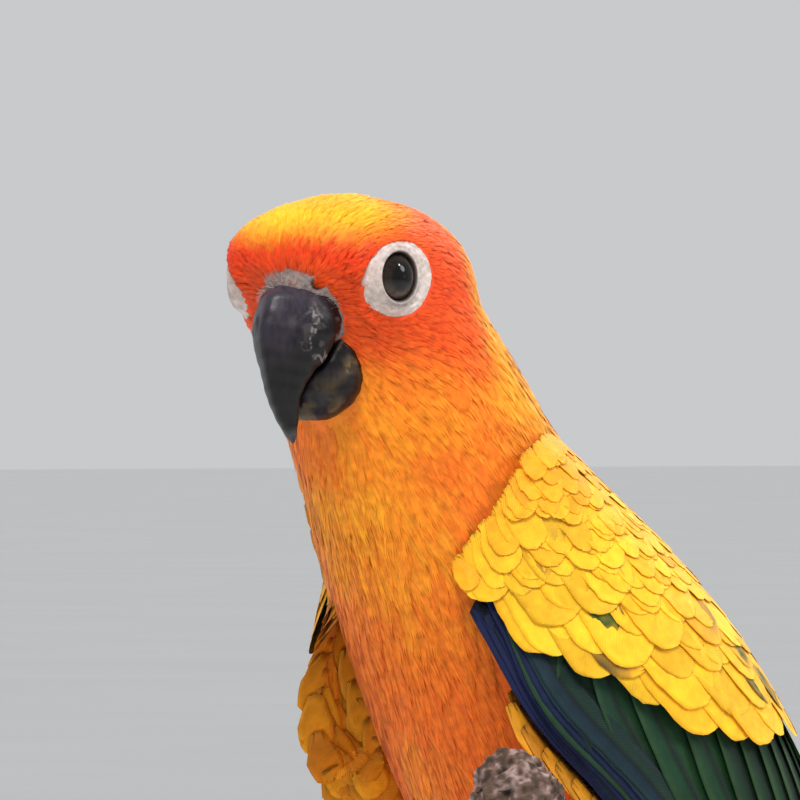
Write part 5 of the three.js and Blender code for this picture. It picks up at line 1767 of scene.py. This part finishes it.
def wood_build(tree, shader):
    where = node(tree, "ShaderNodeTexCoord")
    mapping = node(tree, "ShaderNodeMapping")
    mapping.inputs["Scale"].default_value = (1, 9, 3)
    mapping.inputs["Rotation"].default_value = (0.05, 0.1, 0.4)
    tree.links.new(where.outputs["Object"], mapping.inputs["Vector"])
    grain = node(tree, "ShaderNodeTexNoise", in_Scale=26.0, in_Detail=9.0, in_Distortion=1.4)
    tree.links.new(mapping.outputs["Vector"], grain.inputs["Vector"])
    stops = [(0.3, (0.028, 0.014, 0.008)), (0.5, (0.075, 0.038, 0.02)), (0.68, (0.13, 0.07, 0.037))]
    color = ramp(tree, grain.outputs["Fac"], stops)
    tree.links.new(color, shader.inputs["Base Color"])
    bumped(tree, shader, grain.outputs["Fac"], 0.0002, 0.35)


def metal_build(tree, shader):
    color = ramp(tree, place_noise(tree, 260, 6), [(0.3, (0.022, 0.022, 0.024)), (0.7, (0.05, 0.05, 0.053))])
    tree.links.new(color, shader.inputs["Base Color"])
    bumped(tree, shader, place_noise(tree, 2400, 3), 0.00005, 0.4)


wood_mat = material("base_wood", 0.42, wood_build, Coat_Weight=0.25, Coat_Roughness=0.2)
metal_mat = material("rod_metal", 0.42, metal_build, Metallic=0.65)

base_profile = rounded([(0.5, 0), (BASE_RADIUS - 1, 0), (BASE_RADIUS, 1), (BASE_RADIUS, BASE_THICKNESS - 3),
                        (BASE_RADIUS - 1, BASE_THICKNESS - 1), (BASE_RADIUS - 3, BASE_THICKNESS),
                        (0.5, BASE_THICKNESS)])
flat, faces = closed_grid(lathe(base_profile, 192, (0, 0, -PERCH_TOP)))
place(make("base_disc", flat, faces), wood_mat, ["stand_base"], "base_wood")
for rod_side, rod_name in ((1, "left"), (-1, "right")):
    floor = BASE_THICKNESS + 0.02
    rod_top = PERCH_TOP - 2 * LIMB_RADIUS + 0.6
    rod_profile = rounded([(0.3, floor), (6.5, floor), (6.5, floor + 1.6), (4.6, floor + 4), (3.2, floor + 5),
                           (3.2, rod_top), (0.3, rod_top)])
    flat, faces = closed_grid(lathe(rod_profile, 64, (rod_side * ROD_OFFSET, 0, -PERCH_TOP)))
    place(make(f"rod_{rod_name}", flat, faces), metal_mat, [f"stand_rod_{rod_name}"], "rod_metal")

# Floor, light and camera


CAMERA_TURN = 50
CAMERA_LENS = 540
CAMERA_DISTANCE = 1.6
CAMERA_AIM = (-0.026, 0.22967)
LIGHT_TARGET = (-0.004, -0.03, 0.205)
# Each light's name, its way from the target (toward the camera, right, up), distance, size, power, tint
LIGHTS = [
    ("key", (0.8, -0.1, 1.15), 0.95, 0.42, 8.5, (1, 0.97, 0.92)),
    ("glint", (0.2, 0.75, 0.62), 0.9, 0.1, 1.0, (1, 1, 1)),
    ("fill", (0.12, 0.89, 0.44), 1.1, 0.35, 2.4, (0.93, 0.96, 1)),
    ("rim", (-0.9, 0.5, 0.8), 1.0, 0.5, 4, (1, 1, 1)),
]


def studio():
    floor_mat = material("floor_pale", 0.75)
    shader = floor_mat.node_tree.nodes["Principled BSDF"]
    tree = floor_mat.node_tree
    tone = ramp(tree, place_noise(tree, 3), [(0.3, (0.86, 0.86, 0.85)), (0.7, (0.89, 0.89, 0.88))])
    tree.links.new(tone, shader.inputs["Base Color"])
    mesh = bpy.data.meshes.new("floor")
    size = 30
    corners = [(x * size, y * size, -0.0002) for x, y in ((-1, -1), (1, -1), (1, 1), (-1, 1))]
    mesh.from_pydata(corners, [], [(0, 1, 2, 3)])
    ground = bpy.data.objects.new("floor", mesh)
    mesh.materials.append(floor_mat)
    bpy.context.scene.collection.objects.link(ground)

    world = bpy.context.scene.world or bpy.data.worlds.new("studio")
    bpy.context.scene.world = world
    world.use_nodes = True
    backdrop = world.node_tree.nodes["Background"]
    backdrop.inputs["Color"].default_value = (0.93, 0.95, 0.97, 1)
    backdrop.inputs["Strength"].default_value = 0.62

    turn = math.radians(CAMERA_TURN)
    right = Vector((math.cos(turn), math.sin(turn), 0))
    near = Vector((math.sin(turn), -math.cos(turn), 0))
    up = Vector((0, 0, 1))
    target = Vector(LIGHT_TARGET)
    for light_name, way, distance, size, power, tint in LIGHTS:
        data = bpy.data.lights.new(light_name, "AREA")
        data.shape = "DISK"
        data.energy, data.size, data.color = power, size, tint
        lamp = bpy.data.objects.new(light_name, data)
        lamp.location = target + (near * way[0] + right * way[1] + up * way[2]).normalized() * distance
        lamp.rotation_euler = (target - lamp.location).to_track_quat("-Z", "Y").to_euler()
        bpy.context.scene.collection.objects.link(lamp)

    data = bpy.data.cameras.new("camera")
    data.sensor_width = 36
    data.lens = CAMERA_LENS
    data.clip_end = 60
    camera = bpy.data.objects.new("camera", data)
    camera.location = right * CAMERA_AIM[0] + up * CAMERA_AIM[1] + near * CAMERA_DISTANCE
    camera.rotation_euler = (-near).to_track_quat("-Z", "Y").to_euler()
    bpy.context.scene.collection.objects.link(camera)
    bpy.context.scene.camera = camera
    bpy.context.scene.view_settings.view_transform = "Standard"


studio()
